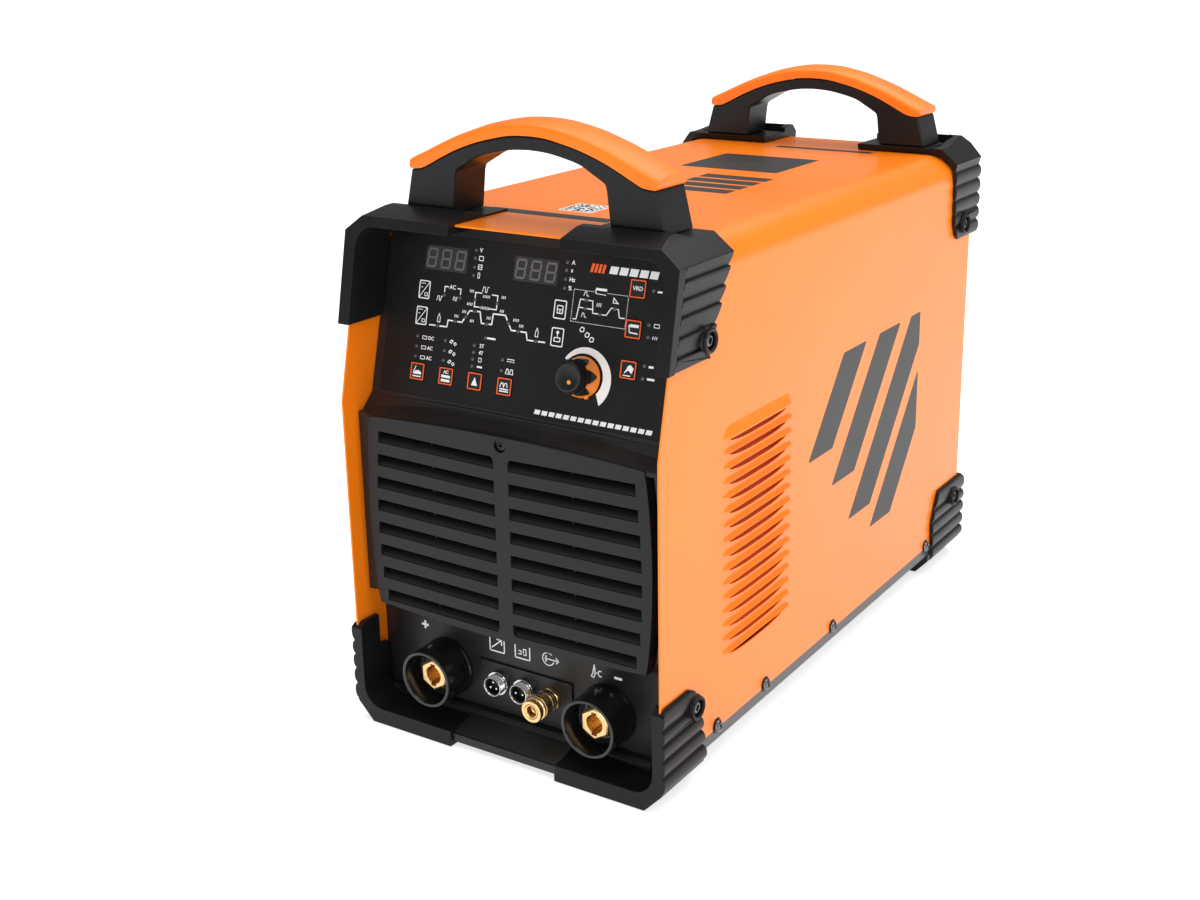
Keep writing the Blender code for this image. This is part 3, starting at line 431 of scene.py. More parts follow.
def weigh(bm, test):
    """Marks the edges that the Bevel modifier rounds."""
    lay = bm.edges.layers.float.get("bevel_weight_edge") or bm.edges.layers.float.new("bevel_weight_edge")
    for e in bm.edges:
        e[lay] = 1.0 if test(e) else 0.0


made_pieces = []


def piece(name, bm, mat, body="machine", replaces=(), angle=32, bevel=0.0, seg=2, weight=False, limit=30, pick=None):
    bmesh.ops.remove_doubles(bm, verts=bm.verts, dist=1e-7)
    bmesh.ops.recalc_face_normals(bm, faces=bm.faces)
    mesh = bpy.data.meshes.new(name)
    if pick:
        for f in bm.faces:
            f.material_index = pick(f)
    bm.to_mesh(mesh)
    bm.free()
    for m in mat if isinstance(mat, (list, tuple)) else [mat]:
        mesh.materials.append(m)
    mesh.shade_smooth()
    mesh.set_sharp_from_angle(angle=math.radians(angle))
    ob = bpy.data.objects.new(name, mesh)
    scene.collection.objects.link(ob)
    if bevel:
        m = ob.modifiers.new("edge", "BEVEL")
        m.width = bevel * MM
        m.segments = seg
        m.limit_method = "WEIGHT" if weight else "ANGLE"
        m.angle_limit = math.radians(limit)
        m.harden_normals = True
        m.use_clamp_overlap = False
        m.miter_outer = "MITER_ARC"
    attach(ob, body)
    if replaces:
        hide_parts(*([replaces] if isinstance(replaces, str) else replaces))
    made_pieces.append(ob)
    return ob


FORWARD, BACKWARD = Vector((0, -1, 0)), Vector((0, 1, 0))
RIGHT = Vector((1, 0, 0))

# ---- dimensions shared with the CAD ---------------------------------------------------------
COVER_HALF, COVER_TOP, COVER_BACK, COVER_R = 136.0, 360.0, 544.0, 24.0
APEX_Z, LEAN = 226.0, 0.23
PANEL_Y, PANEL_Z, PANEL_LEAN = 31.4, 226.8, 0.255
SLOPE = math.hypot(1, PANEL_LEAN)
UP = Vector((0, PANEL_LEAN, 1)) / SLOPE
OUT = Vector((0, -1, PANEL_LEAN)) / SLOPE
BAY_Y, SURROUND_Y, GRILLE_Y, AXIS_Z = 32.0, 21.0, 10.0, 16.2
SOCKET_X, CONNECTOR_X, COUPLING_X = 73.0, (-23.7, 0.0), 23.7
REAR_Y, FAN_Z = 510.0, 118.0
BOLTS = {"front_upper": (57.0, 296.0), "front_lower": (41.0, 35.0), "rear_upper": (519.0, 297.0), "rear_lower": (527.0, 35.0)}
SCREW_Y, SCREW_Z = (77.7, 152.6, 270.9, 469.9), 2.6
KNOB_X, KNOB_S = 51.2, 36.4
KEYS = {
    "mode": (-92.6, 20.4), "waveform": (-66.1, 20.4), "trigger": (-39.9, 20.4), "pulse": (-13.6, 20.4),
    "vrd": (86.4, 101.0), "hf": (86.4, 73.8), "gas": (86.4, 46.3),
}
KEY = 12.4
DISPLAYS = {"left": (-97.0, -58.4), "right": (-17.6, 20.7)}
DISPLAY_S = (95.2, 113.3)


def front_edge(z):
    return max(0.0, (z - APEX_Z) * LEAN)


def on_panel(x, s, h=0.0):
    return at(x, PANEL_Y, PANEL_Z) + (UP * s + OUT * h) * MM


def panel_block(x0, x1, s0, s1, h0, h1, bm=None):
    corners = [on_panel(x0, s0, h0), on_panel(x1, s0, h0), on_panel(x1, s1, h0), on_panel(x0, s1, h0)]
    return add_prism(bm or bmesh.new(), corners, OUT * (h1 - h0) * MM)


def panel_shape(points, h0, h1, bm=None):
    return add_prism(bm or bmesh.new(), [on_panel(x, s, h0) for x, s in points], OUT * (h1 - h0) * MM)


def cover_outline(inset=0.0, bottom=0.0, n=14):
    half, top, r = COVER_HALF - inset, COVER_TOP - inset, COVER_R - inset
    return [(-half, bottom)] + arc(-half + r, top - r, r, 180, 90, n) + arc(half - r, top - r, r, 90, 0, n) + [(half, bottom)]


# ============================================================================================
# cover with its formed louvres
# ============================================================================================
LOUVRE_LIP = [218.6 - 10.86 * i for i in range(16)]
L0, L1 = 85.0, 190.0
cover = prism_y(cover_outline() + cover_outline(1.5)[::-1], 0.0, COVER_BACK)
lean_cut = prism_x([(-8, APEX_Z), (0, APEX_Z), (front_edge(380), 380), (-8, 380)], -150, 150)
openings = bmesh.new()
for side in (-1, 1):
    x0, x1 = sorted((side * 130, side * 142))
    for z in LOUVRE_LIP:
        n = 10
        low = []
        for k in range(n + 1):
            u = -1 + 2 * k / n
            low.append((137.5 + u * 50.5, z + 0.4 - 6.7 * (1 - abs(u) ** 3.0) ** 0.7))
        prism_x([(88.5, z + 1.2)] + low[1:-1] + [(186.5, z + 1.2)], x0, x1, openings)
    for y in SCREW_Y:
        half_round = arc(y, SCREW_Z, 4.6, -20, 200, 14)
        prism_x(half_round + [(y - 4.6, -3), (y + 4.6, -3)], x0, x1, openings)
cover = cut(cover, lean_cut, openings)
piece("cover_shell", cover, ORANGE, replaces="outer_cover", bevel=0.35, seg=2, angle=25, limit=35)


def hood(bm, side, z_lip, tall=4.3, high=2.8, flare=2.4):
    """One louvre's hood: a thin pressed scoop, flush at its top and open under its lip."""
    rows = []
    cols = 34
    for c in range(cols + 1):
        u = c / cols
        # denser near both ends
        y = L0 + (L1 - L0) * (u - 0.055 * math.sin(2 * math.pi * u))
        d = min(y - L0, L1 - y)
        g = min(1.0, d / 9.5)
        g = math.sin(g * math.pi / 2) ** 0.9 if g > 0 else 0.0
        t_h = tall * (0.55 + 0.45 * g)
        outer = []
        for k in range(9):
            t = k / 8
            h = high * g * (1 - t) ** flare
            outer.append((h + 0.05 - 0.25 * t - (0.25 if g < 0.02 else 0.0), z_lip + t * t_h))
        # rounded lip, then the inner face back to the sheet
        h0 = outer[0][0]
        lip = [(h0 - 0.15, z_lip - 0.35), (h0 - 0.55, z_lip - 0.55), (h0 - 1.0, z_lip - 0.4), (h0 - 1.25, z_lip + 0.1)]
        inner = [(h0 * 0.55 - 1.3, z_lip + t_h * 0.35), (-1.4, z_lip + t_h * 0.75), (-1.4, z_lip + t_h)]
        loop = outer[::-1] + lip + inner
        rows.append([at(side * (COVER_HALF + h), y, z) for h, z in loop])
    loft(rows, bm=bm)


for hand, side in (("left", -1), ("right", 1)):
    bm = bmesh.new()
    for i, z in enumerate(LOUVRE_LIP):
        hood(bm, side, z, tall=9.0 if i == 0 else 4.6, high=3.6 if i == 0 else 2.8, flare=1.2 if i == 0 else 2.4)
    piece(f"louvres_{hand}", bm, ORANGE, angle=50)

# plain slanted stripes in place of the side mark
for hand, side in (("left", -1), ("right", 1)):
    bm = bmesh.new()
    x0, x1 = sorted((side * 135.9, side * 136.06))
    for pts in (
        [(219, 160), (262, 160), (322, 234), (279, 234)],
        [(262, 128), (305, 128), (391, 234), (348, 234)],
        [(296, 88), (339, 88), (434, 205), (434, 234), (414, 234)],
        [(340, 66), (383, 66), (434, 129), (434, 182)],
    ):
        prism_x(fillet(pts, 1.2, 3), x0, x1, bm)
    piece(f"side_stripes_{hand}", bm, GREY_PRINT)

# labels on the top
bm = prism_z(fillet([(-47, 337), (44, 337), (44, 418), (-47, 418)], 2, 3), 359.9, 360.07)
prism_z([(-28, 474), (66, 474), (66, 483), (-28, 483)], 359.9, 360.05, bm)
prism_z([(-66, 88), (41, 88), (41, 101), (-66, 101)], 359.9, 360.05, bm)
for k in range(4):
    prism_z([(-5, 231 + 21 * k), (56, 231 + 21 * k), (56, 247 + 21 * k), (-5, 247 + 21 * k)], 359.9, 360.07, bm)
piece("top_labels", bm, LABEL)
bm = bmesh.new()
# speckled check patch: a generic grid of small squares on a white ground
rnd = random.Random(7)
for i in range(18):
    for j in range(18):
        if rnd.random() < 0.48:
            x, y = -17 + i * 1.45, 115 + j * 1.45
            prism_z([(x, y), (x + 1.45, y), (x + 1.45, y + 1.45), (x, y + 1.45)], 360.05, 360.09, bm)
piece("top_patch_marks", bm, LABEL)
piece("top_patch", prism_z([(-18.5, 113.5), (10.5, 113.5), (10.5, 142.5), (-18.5, 142.5)], 359.9, 360.06), WHITE)


# ============================================================================================
# corner bumpers
# ============================================================================================
def boss_and_bore(bm, key):
    y, z = BOLTS[key]
    c = at(135, y, z)
    ring = turned([(0, 2.0), (9.6, 2.0), (9.6, 4.4), (8.8, 5.2), (8.8, 7.0), (8.55, 7.6), (8.0, 8.0), (0, 8.0)], c, RIGHT, 48)
    bm = join(bm, ring)
    bore = turned([(3.0, -8), (3.0, 3.0), (6.1, 3.0), (6.1, 7.2), (6.9, 8.05), (6.9, 12), (0, 12), (0, -8)], c, RIGHT, 40)
    return cut(bm, bore)


def hollow(bm, upper, front):
    """Slot for the cover's sheet, the opening inside the lip, and the space behind the lip."""
    g, wall = 0.3, 4.5
    band = cover_outline(-g, -60) + cover_outline(1.5 + g + 0.2, -60)[::-1]
    edge = [(-g, -70), (-g, APEX_Z), (front_edge(380) - g, 380)] if front else [(COVER_BACK + g, -70), (COVER_BACK + g, 380)]
    far = 600 if front else -30
    slot_bm = meet(prism_y(band, -20, 580), prism_x(edge + [(far, 380), (far, -70)], -160, 160))
    in_x, r = COVER_HALF - 1.5 - g - wall, 16.0
    if upper:
        ceiling = COVER_TOP - 1.5 - g - wall
        void = [(27, 270), (in_x, 270)] + arc(in_x - r, ceiling - r, r, 0, 90, 12) + [(27, ceiling)]
    else:
        floor_z = -17.0
        void = [(in_x, 80)] + arc(in_x - r, floor_z + r, r, 0, -90, 12) + [(27, floor_z), (27, 80)]
    opening = (-20, 600) if upper else ((-20, 28) if front else (525.0, 600))
    inner = [(0, -11.0), (135.5, -11.0), (135.5, 348), (124, 359.5), (0, 359.5)]
    if upper and front:
        back = [(PANEL_Y + PANEL_LEAN * (270 - PANEL_Z) - 4.0, 270), (PANEL_Y + PANEL_LEAN * (380 - PANEL_Z) - 4.0, 380), (600, 380), (600, 270)]
    elif front:
        back = [(28.0, -11.0), (28.0, 60), (600, 60), (600, -11.0)]
    else:
        back = [(525.0, -11.0), (525.0, 380), (-30, 380), (-30, -11.0)]
    inside = meet(prism_y(inner, -20, 600), prism_x(back, -170, 170))
    return cut(bm, slot_bm, prism_y(void, *opening), inside)


def shingles(levels, deep, y_front, back):
    """The cutter for overlapping ribs: each steps out at its top and tapers inwards below, with a rounded end behind the front edge."""
    saw = [(142.0, levels[0]), (140.0, levels[0])]
    for z in levels[1:]:
        saw += [(140.0 - deep, z), (140.0 - 1.3, z), (140.0 - 0.55, z - 0.2), (140.0 - 0.15, z - 0.7), (140.0, z - 1.6)]
    saw = saw[:-4] + [(142.0, levels[-1])]
    outline = [(back, levels[0])]
    r = 2.6
    for a, b in zip(levels, levels[1:]):
        ya, yb = y_front(a), y_front(b)
        outline += [(ya + r, a), (ya + 0.3 * r, a - 0.3 * r), (ya, a - r), (yb, b + r), (yb + 0.3 * r, b + 0.3 * r)]
    outline += [(y_front(levels[-1]) + r, levels[-1]), (back, levels[-1])]
    return meet(prism_y(saw, -20, 620), prism_x(outline, 120, 160))


def pillows(levels, x_out, dip, n=7):
    """Side profile of pillow ribs from the lowest level to the highest: sharp grooves between crowned bands."""
    pts = []
    for a, b in zip(levels, levels[1:]):
        for k in range(n):
            u = k / n
            pts.append((x_out - dip * (1 - math.sin(math.pi * u) ** 0.55), a + (b - a) * u))
    pts.append((x_out - dip, levels[-1]))
    return pts


def scallops(levels, y_at, out, n=5):
    """Points up a scalloped edge: bulges between levels; y_at(z) is the base line."""
    pts = []
    for a, b in zip(levels, levels[1:]):
        for k in range(n):
            u = k / n
            z = a + (b - a) * u
            pts.append((y_at(z) + out * math.sin(math.pi * u) ** 0.7, z))
    return pts + [(y_at(levels[-1]), levels[-1])]


def line_at(p, q):
    return lambda z: p[0] + (q[0] - p[0]) * (z - p[1]) / (q[1] - p[1])


def bumper_front_upper():
    section = [(47, 283), (140, 283), (140, 350), (124, 362), (119, 367), (47, 367)]
    bm = prism_y(section, -2, 94)
    lv = [283, 292, 305, 318, 329, 341, 349]
    rear = scallops(lv, line_at((57.5, 283), (91.2, 349)), 1.1)
    keep = [(6, 283), (22.5, 361), (42, 366), (50, 366.5), (63, 361.8), (92, 361.8)] + rear[::-1]
    bm = meet(bm, prism_x(keep, 40, 146))
    front = lambda z: 6 + (z - 283) * 16.5 / 78 + 8.0
    bm = cut(bm, shingles([349.4, 341, 329, 318, 305, 292, 280], 2.0, front, 120))
    bm = hollow(bm, True, True)
    return boss_and_bore(bm, "front_upper")


def bumper_front_lower():
    levels = [-13.6, -0.6, 12.0, 24.0, 35.3, 50.5]
    side_pts = pillows(levels, 140.0, 2.6)
    section = [(47, -30), (123, -30), (137.2, -15.2)] + side_pts + [(47, 50.5)]
    bm = prism_y(section, -2, 62)
    rear = scallops([-13.6, -0.6, 12.0, 24.0, 33.0], line_at((57, -13.6), (49, 33)), 1.2)
    keep = [(-2, -31), (-2, 46), (1, 49.5), (4, 51), (34, 51), (41, 47.5), (45.5, 41)] + rear[::-1] + [(58, -31)]
    bm = meet(bm, prism_x(keep, 40, 146))
    bm = hollow(bm, False, True)
    notch = fillet([(19.0, 24.5), (80, 24.5), (80, 60), (19.0, 60)], [2.0, 0, 0, 0], 4)
    bm = cut(bm, prism_x(notch, 100, COVER_HALF - 1.5 - 0.2))
    return boss_and_bore(bm, "front_lower")


def bumper_rear_upper():
    levels = [284, 296.5, 308.1, 320.5, 333.5, 345.8]
    side_pts = pillows(levels, 140.0, 1.9)
    section = [(47, 284)] + side_pts + [(139.9, 352.5), (122.2, 371.0), (47, 371.0)]
    bm = prism_y(section, 480, 556)
    front = scallops([296.5, 308.1, 320.5, 333.5, 345.8], line_at((499, 296.5), (496.5, 345.8)), -1.5)
    rear = scallops([284, 296.5, 308.1, 320.5, 333.5, 345.8], line_at((553.4, 284), (553.6, 345.8)), 2.2)
    keep = [(512, 282)] + [(503, 288)] + front + [(495, 352), (489, 366), (506, 366.2), (538, 370.9), (549, 370.9), (556, 364)] + rear[::-1]
    bm = meet(bm, prism_x(keep, 40, 146))
    bm = hollow(bm, True, False)
    seat = [(40, 470), (112, 470), (117.5, 500), (117.5, 531.5), (40, 531.5)]
    bm = cut(bm, prism_z(seat, 366.0, 380.0))
    pocket = fillet([(52, 530), (118, 530), (118, 541), (110, 549), (52, 549)], 1.5, 3)
    bm = cut(bm, prism_z(pocket, 361.0, 380.0))
    return boss_and_bore(bm, "rear_upper")


def bumper_rear_lower():
    levels = [-13.6, -2.5, 10.0, 22.5, 34.1, 50.5]
    side_pts = pillows(levels, 140.0, 2.4)
    section = [(47, -30), (123, -30), (137.6, -14.5)] + side_pts + [(47, 50.5)]
    bm = prism_y(section, 470, 556)
    rear = scallops([-13.6, -2.5, 10.0, 22.5, 34.1, 47], line_at((553.5, -13.6), (553.5, 47)), 2.2)
    keep = [(481, -31), (482.5, -13), (480, 2), (478.5, 22), (484, 36), (491, 49), (494, 51), (549, 51)] + rear[::-1] + [(555, -31)]
    bm = meet(bm, prism_x(keep, 40, 146))
    bm = hollow(bm, False, False)
    return boss_and_bore(bm, "rear_lower")


def near_boss(key):
    y, z = BOLTS[key]

    def pick(f):
        c = f.calc_center_median() / MM
        yy, zz = c.y + MID_Y, c.z - FOOT
        return 1 if math.hypot(yy - y, zz - z) < 9.2 and abs(c.x) > 139.2 else 0

    return pick


for key, make in (("front_upper", bumper_front_upper), ("front_lower", bumper_front_lower), ("rear_upper", bumper_rear_upper), ("rear_lower", bumper_rear_lower)):
    right = make()
    left = mirror_copy(right)
    place = key.split("_")
    for hand, bm in (("right", right), ("left", left)):
        piece(f"bumper_{key}_{hand}_shell", bm, [RUBBER, HANDLE], replaces=f"bumper_{key}_{hand}", bevel=0.45 if key == "front_upper" else 0.6, seg=2, angle=28, limit=32, pick=near_boss(key))


# ============================================================================================
# front panel, printed overlay and keys
# ============================================================================================
PANEL_HALF = COVER_HALF - 2.1
skin = [
    (PANEL_Y + (352.0 - PANEL_Z) * PANEL_LEAN, 352.0), (PANEL_Y, PANEL_Z), (SURROUND_Y, 216.5), (SURROUND_Y, 73.0),
    (BAY_Y - 1.5, 60.0), (BAY_Y, 56.5), (BAY_Y, -10.6),
]
bm = prism_x(strip(skin, -3.0), -PANEL_HALF, PANEL_HALF)
shelf = join(prism_x([(34.6, -8.9), (30.6, -8.9), (27.0, -10.2), (24.6, -12.6), (24.6, -16.6), (27.6, -16.6), (27.6, -10.7), (34.6, -10.7)], -112, 112), prism_x([(26.0, -12.0), (24.0, -13.4), (3.0, -18.9), (0.6, -20.6), (0.6, -22.6), (26.0, -18.4)], -46.95, 46.95))
lip = block(-46.5, 46.5, 0.6, 6.0, -26.0, -19.4)
bm = join(bm, shelf, lip)
corner = bmesh.new()
for side in (-1, 1):
    c = PANEL_HALF - 22
    pts = arc(c, 353 - 22, 22, 0, 90, 14) + [(c, 380), (PANEL_HALF + 20, 380), (PANEL_HALF + 20, 331)]
    prism_y([(side * x, z) for x, z in pts], 20, 90, corner)


def grille_half(z, mid=124.0, end=118.6):
    t = (z - 141.0) / 76.0
    return mid - (mid - end) * t * t


def grille_outline(inset=0.0, n=16):
    low_end, low_mid, top_end, top_mid = 67.2, 63.0, 215.2, 219.0
    pts = []
    for i in range(n + 1):
        t = -1 + 2 * i / n
        pts.append((t * (118.6 - inset), low_mid + (low_end - low_mid) * t * t + inset))
    for i in range(1, n):
        z = low_end + (top_end - low_end) * i / n
        pts.append((grille_half(z) - inset, z))
    for i in range(n + 1):
        t = 1 - 2 * i / n
        pts.append((t * (118.6 - inset), top_mid - (top_mid - top_end) * t * t - inset))
    for i in range(1, n):
        z = top_end - (top_end - low_end) * i / n
        pts.append((-grille_half(z) + inset, z))
    return pts


holes = bmesh.new()
prism_y([(x * 0.93, 141 + (z - 141) * 0.9) for x, z in grille_outline(3)], 15, 30, holes)
for side in (-1, 1):
    add_turned(holes, [(20.0, -6), (20.0, 6)], at(side * SOCKET_X, BAY_Y + 1, AXIS_Z), BACKWARD, 56)
block(-38, 38, BAY_Y - 2, BAY_Y + 6, -2.5, 28.5, holes)
add_turned(holes, [(2.1, -6), (2.1, 8)], at(0, SURROUND_Y + 1, 212.3), BACKWARD, 24)
windows = bmesh.new()
for x0, x1 in DISPLAYS.values():
    panel_block(x0 - 0.3, x1 + 0.3, DISPLAY_S[0] - 0.3, DISPLAY_S[1] + 0.3, -6, 4, windows)
for x, s in KEYS.values():
    h = KEY / 2 + 0.35
    panel_shape(fillet([(x - h, s - h), (x + h, s - h), (x + h, s + h), (x - h, s + h)], 0.8, 3), -6, 4, windows)
add_turned(windows, [(4.2, -6), (4.2, 4)], on_panel(KNOB_X, KNOB_S), OUT, 32)
spare = windows.copy()
bm = cut(bm, corner, holes, windows)
# raised cheeks on both sides of the grille, with a groove between each and the grille
cheeks = bmesh.new()
for side in (-1, 1):
    outline = [(side * (PANEL_HALF - 0.6), 73.5), (side * (PANEL_HALF - 0.6), 215.5), (side * 127.5, 215.5)]
    outline += [(side * (grille_half(z) + 3.6), z) for z in (212, 195, 178, 160, 141, 122, 104, 88, 76)] + [(side * 127.5, 73.5)]
    prism_y(outline, 14.6, 21.6, cheeks)
bm = join(bm, cheeks)
piece("front_moulding", bm, BAY, replaces="front_panel", bevel=0.4, seg=2, angle=25, limit=34)

overlay = panel_shape(fillet([(-126.5, 2.2), (127.0, 2.2), (127.0, 121.0), (-126.5, 121.0)], 3, 4), -0.15, 0.22)
overlay = cut(overlay, spare)
piece("panel_overlay", overlay, FASCIA, bevel=0.1, seg=1, limit=60)

H0, H1 = 0.16, 0.29


def ring_shape(bm, outer, inner, h0=H0, h1=H1):
    rows = [[on_panel(x, s, h0) for x, s in outer], [on_panel(x, s, h1) for x, s in outer], [on_panel(x, s, h1) for x, s in inner], [on_panel(x, s, h0) for x, s in inner]]
    loft(rows + [rows[0]], caps=False, bm=bm)


def rect(x0, x1, s0, s1, r=1.0, n=4):
    return fillet([(x0, s0), (x1, s0), (x1, s1), (x0, s1)], r, n)


def box_outline(bm, cx, cs, w, hgt, line=0.8, r=1.3, h0=H0, h1=H1):
    ring_shape(bm, rect(cx - w / 2, cx + w / 2, cs - hgt / 2, cs + hgt / 2, r), rect(cx - w / 2 + line, cx + w / 2 - line, cs - hgt / 2 + line, cs + hgt / 2 - line, max(0.3, r - line * 0.6)), h0, h1)


def stroke(bm, points, width=0.9, h0=H0, h1=H1):
    left = strip(points, width / 2)
    n = len(points)
    a = left[n:][::-1]
    right_pts = strip([tuple(p) for p in points], -width / 2)[n:][::-1]
    panel_shape(list(a) + list(right_pts)[::-1], h0, h1, bm)


def dot(bm, x, s, r, h0=H0, h1=H1, n=16):
    panel_shape([(x + r * math.cos(2 * math.pi * i / n), s + r * math.sin(2 * math.pi * i / n)) for i in range(n)], h0, h1, bm)


def add_text(bm, string, x, s, size, h0=H0, h1=H1, bold=0.0, centre=False, slant=0.0):
    curve = bpy.data.curves.new("mark", "FONT")
    curve.body, curve.size = string, size
    curve.align_x = "CENTER" if centre else "LEFT"
    curve.align_y = "CENTER"
    curve.extrude = (h1 - h0) / 2
    curve.offset = bold
    curve.shear = slant
    curve.resolution_u = 3
    ob = bpy.data.objects.new("mark", curve)
    scene.collection.objects.link(ob)
    bpy.context.view_layer.update()
    mesh = bpy.data.meshes.new_from_object(ob.evaluated_get(bpy.context.evaluated_depsgraph_get()))
    part = bmesh.new()
    part.from_mesh(mesh)
    for v in part.verts:
        v.co = on_panel(x + v.co.x, s + v.co.y, (h0 + h1) / 2 + v.co.z)
    moved = bpy.data.meshes.new("moved")
    part.to_mesh(moved)
    part.free()
    bm.from_mesh(moved)
    bpy.data.meshes.remove(moved)
    bpy.data.objects.remove(ob, do_unlink=True)
    bpy.data.curves.remove(curve)
    bpy.data.meshes.remove(mesh)


white = bmesh.new()
# boxes with icons, left and right of the current curve
for cx, cs in ((-94.5, 80.3), (-94.6, 61.2)):
    box_outline(white, cx, cs, 10.2, 13.4)
    stroke(white, [(cx - 4.3, cs - 5.8), (cx + 4.3, cs + 5.8)], 0.6)
    stroke(white, [(cx - 3.6, cs + 4.4), (cx + 0.6, cs + 4.4)], 0.5)
    stroke(white, [(cx - 3.2, cs + 1.6), (cx - 1.6, cs + 1.6)], 0.5)
    box_outline(white, cx + 1.9, cs - 3.4, 3.2, 2.6, 0.5, 0.6)
for cx, cs in ((25.7, 79.9), (26.0, 60.7)):
    box_outline(white, cx, cs, 10.4, 13.2)
box_outline(white, 25.7, 79.9, 5.2, 6.0, 0.7, 0.9)
stroke(white, [(23.4, 79.9), (28.0, 79.9)], 0.6)
stroke(white, [(25.7, 79.6), (25.7, 77.2)], 0.6)
dot(white, 26.0, 64.0, 1.2)
box_outline(white, 26.0, 59.0, 5.6, 3.4, 0.7, 1.0)
stroke(white, [(26.0, 62.8), (26.0, 60.6)], 0.6)
# the welding current curve, broken where its lamps sit
curve_pts = [(-86.2, 55.5), (-70.4, 55.8), (-69.9, 60.8), (-57.4, 60.7), (-51.4, 69.8), (-42.1, 70.1), (-40, 62.1), (-30.8, 62.4), (-30.5, 70.1), (-19.8, 70.3), (-13.4, 60.5), (-0.4, 60.6), (1.2, 55.4), (16, 55.7)]
lamps = [(-79.0, 55.6), (-63.4, 60.75), (-54.4, 65.2), (-46.8, 69.95), (-35.4, 62.25), (-16.6, 65.4), (-7.2, 60.55), (8.6, 55.55)]


def broken(bm, points, gaps, width=1.0, room=1.9):
    """Strokes along a polyline, leaving a gap round each lamp."""
    for (x0, s0), (x1, s1) in zip(points, points[1:]):
        d = math.hypot(x1 - x0, s1 - s0)
        spans = [(0.0, d)]
        for gx, gs in gaps:
            t = ((gx - x0) * (x1 - x0) + (gs - s0) * (s1 - s0)) / d
            off = abs((gx - x0) * (s1 - s0) - (gs - s0) * (x1 - x0)) / d
            if off < 1.2 and -room < t < d + room:
                spans = [q for a, b in spans for q in ((a, min(b, t - room)), (max(a, t + room), b)) if q[1] - q[0] > 0.3]
        for a, b in spans:
            ex_a = width / 2 if a == 0.0 else 0.0
            ex_b = width / 2 if b == d else 0.0
            p = lambda t: (x0 + (x1 - x0) * t / d, s0 + (s1 - s0) * t / d)
            stroke(bm, [p(a - ex_a), p(b + ex_b)], width)


broken(white, curve_pts, lamps)
# brackets above the curve
stroke(white, [(-76.0, 80.6), (-76.0, 84.6), (-72.6, 84.6)], 0.8)
stroke(white, [(-64.6, 84.2), (-61.4, 84.2), (-61.4, 80.0)], 0.8)
add_text(white, "AC", -71.8, 84.6, 4.2, bold=0.06)
stroke(white, [(-48.0, 79.0), (-48.0, 83.4), (-42.2, 83.4)], 0.8)
stroke(white, [(-33.4, 83.2), (-28.2, 83.2), (-28.2, 79.0)], 0.8)
stroke(white, [(-48.0, 77.0), (-48.0, 73.2), (-43.2, 73.2)], 0.8)
stroke(white, [(-34.4, 73.2), (-28.2, 73.2), (-28.2, 76.4)], 0.8)
for x, s, w in ((-53.0, 84.0, 3.0), (-24.6, 82.6, 2.6), (-54.4, 74.6, 4.0), (-24.8, 72.8, 2.6), (-57.8, 68.6, 3.2), (-50.2, 62.8, 3.0), (-38.4, 66.0, 0.1), (-35.6, 66.6, 3.0), (-12.4, 68.0, 4.2), (-6.8, 64.4, 2.8), (-64.4, 64.6, 2.6), (-42.0, 73.2, 6.6), (-41.0, 81.4, 6.0)):
    if w > 1:
        for k in range(int(w / 1.25) + 1):
            stroke(white, [(x + k * 1.35, s - 1.0), (x + k * 1.35 + 0.35, s + 1.0)], 0.55)
# small pulse drawings
for x, s, k in ((-79.6, 75.6, 1.0), (-39.2, 86.2, 1.15), (-65.4, 76.6, 0.8)):
    stroke(white, [(x - 2.6 * k, s - 1.6 * k), (x - 2.0 * k, s + 1.6 * k), (x - 0.8 * k, s + 1.6 * k), (x - 0.2 * k, s - 1.6 * k), (x + 0.8 * k, s - 1.6 * k), (x + 1.3 * k, s + 1.6 * k), (x + 2.4 * k, s + 1.6 * k)], 0.5)
# gas bottles at both ends of the curve
for x, s in ((-78.4, 61.2), (8.6, 61.4)):
    ring_shape(white, fillet([(x - 1.4, s - 3.0), (x + 1.4, s - 3.0), (x + 1.4, s + 1.0), (x + 0.5, s + 2.4), (x + 0.4, s + 3.6), (x - 0.4, s + 3.6), (x - 0.5, s + 2.4), (x - 1.4, s + 1.0)], 0.3, 2), fillet([(x - 0.9, s - 2.5), (x + 0.9, s - 2.5), (x + 0.9, s + 0.8), (x + 0.2, s + 2.0), (x + 0.1, s + 2.6), (x - 0.1, s + 2.6), (x - 0.2, s + 2.0), (x - 0.9, s + 0.8)], 0.3, 2))
# unit marks beside the lamps
for string, x, s in (("V", -48.4, 113.4), ("A", 31.0, 112.9), ("s", 31.0, 107.6), ("Hz", 30.4, 101.2), ("%", 30.4, 95.2)):
    add_text(white, string, x, s, 4.2, bold=0.08)
box_outline(white, -46.4, 107.8, 4.2, 3.6, 0.6, 0.8)
box_outline(white, -46.6, 101.6, 3.8, 3.8, 0.6, 0.5)
stroke(white, [(-48.0, 101.6), (-45.2, 101.6)], 0.5)
box_outline(white, -47.0, 95.6, 2.0, 4.2, 0.5, 0.6)
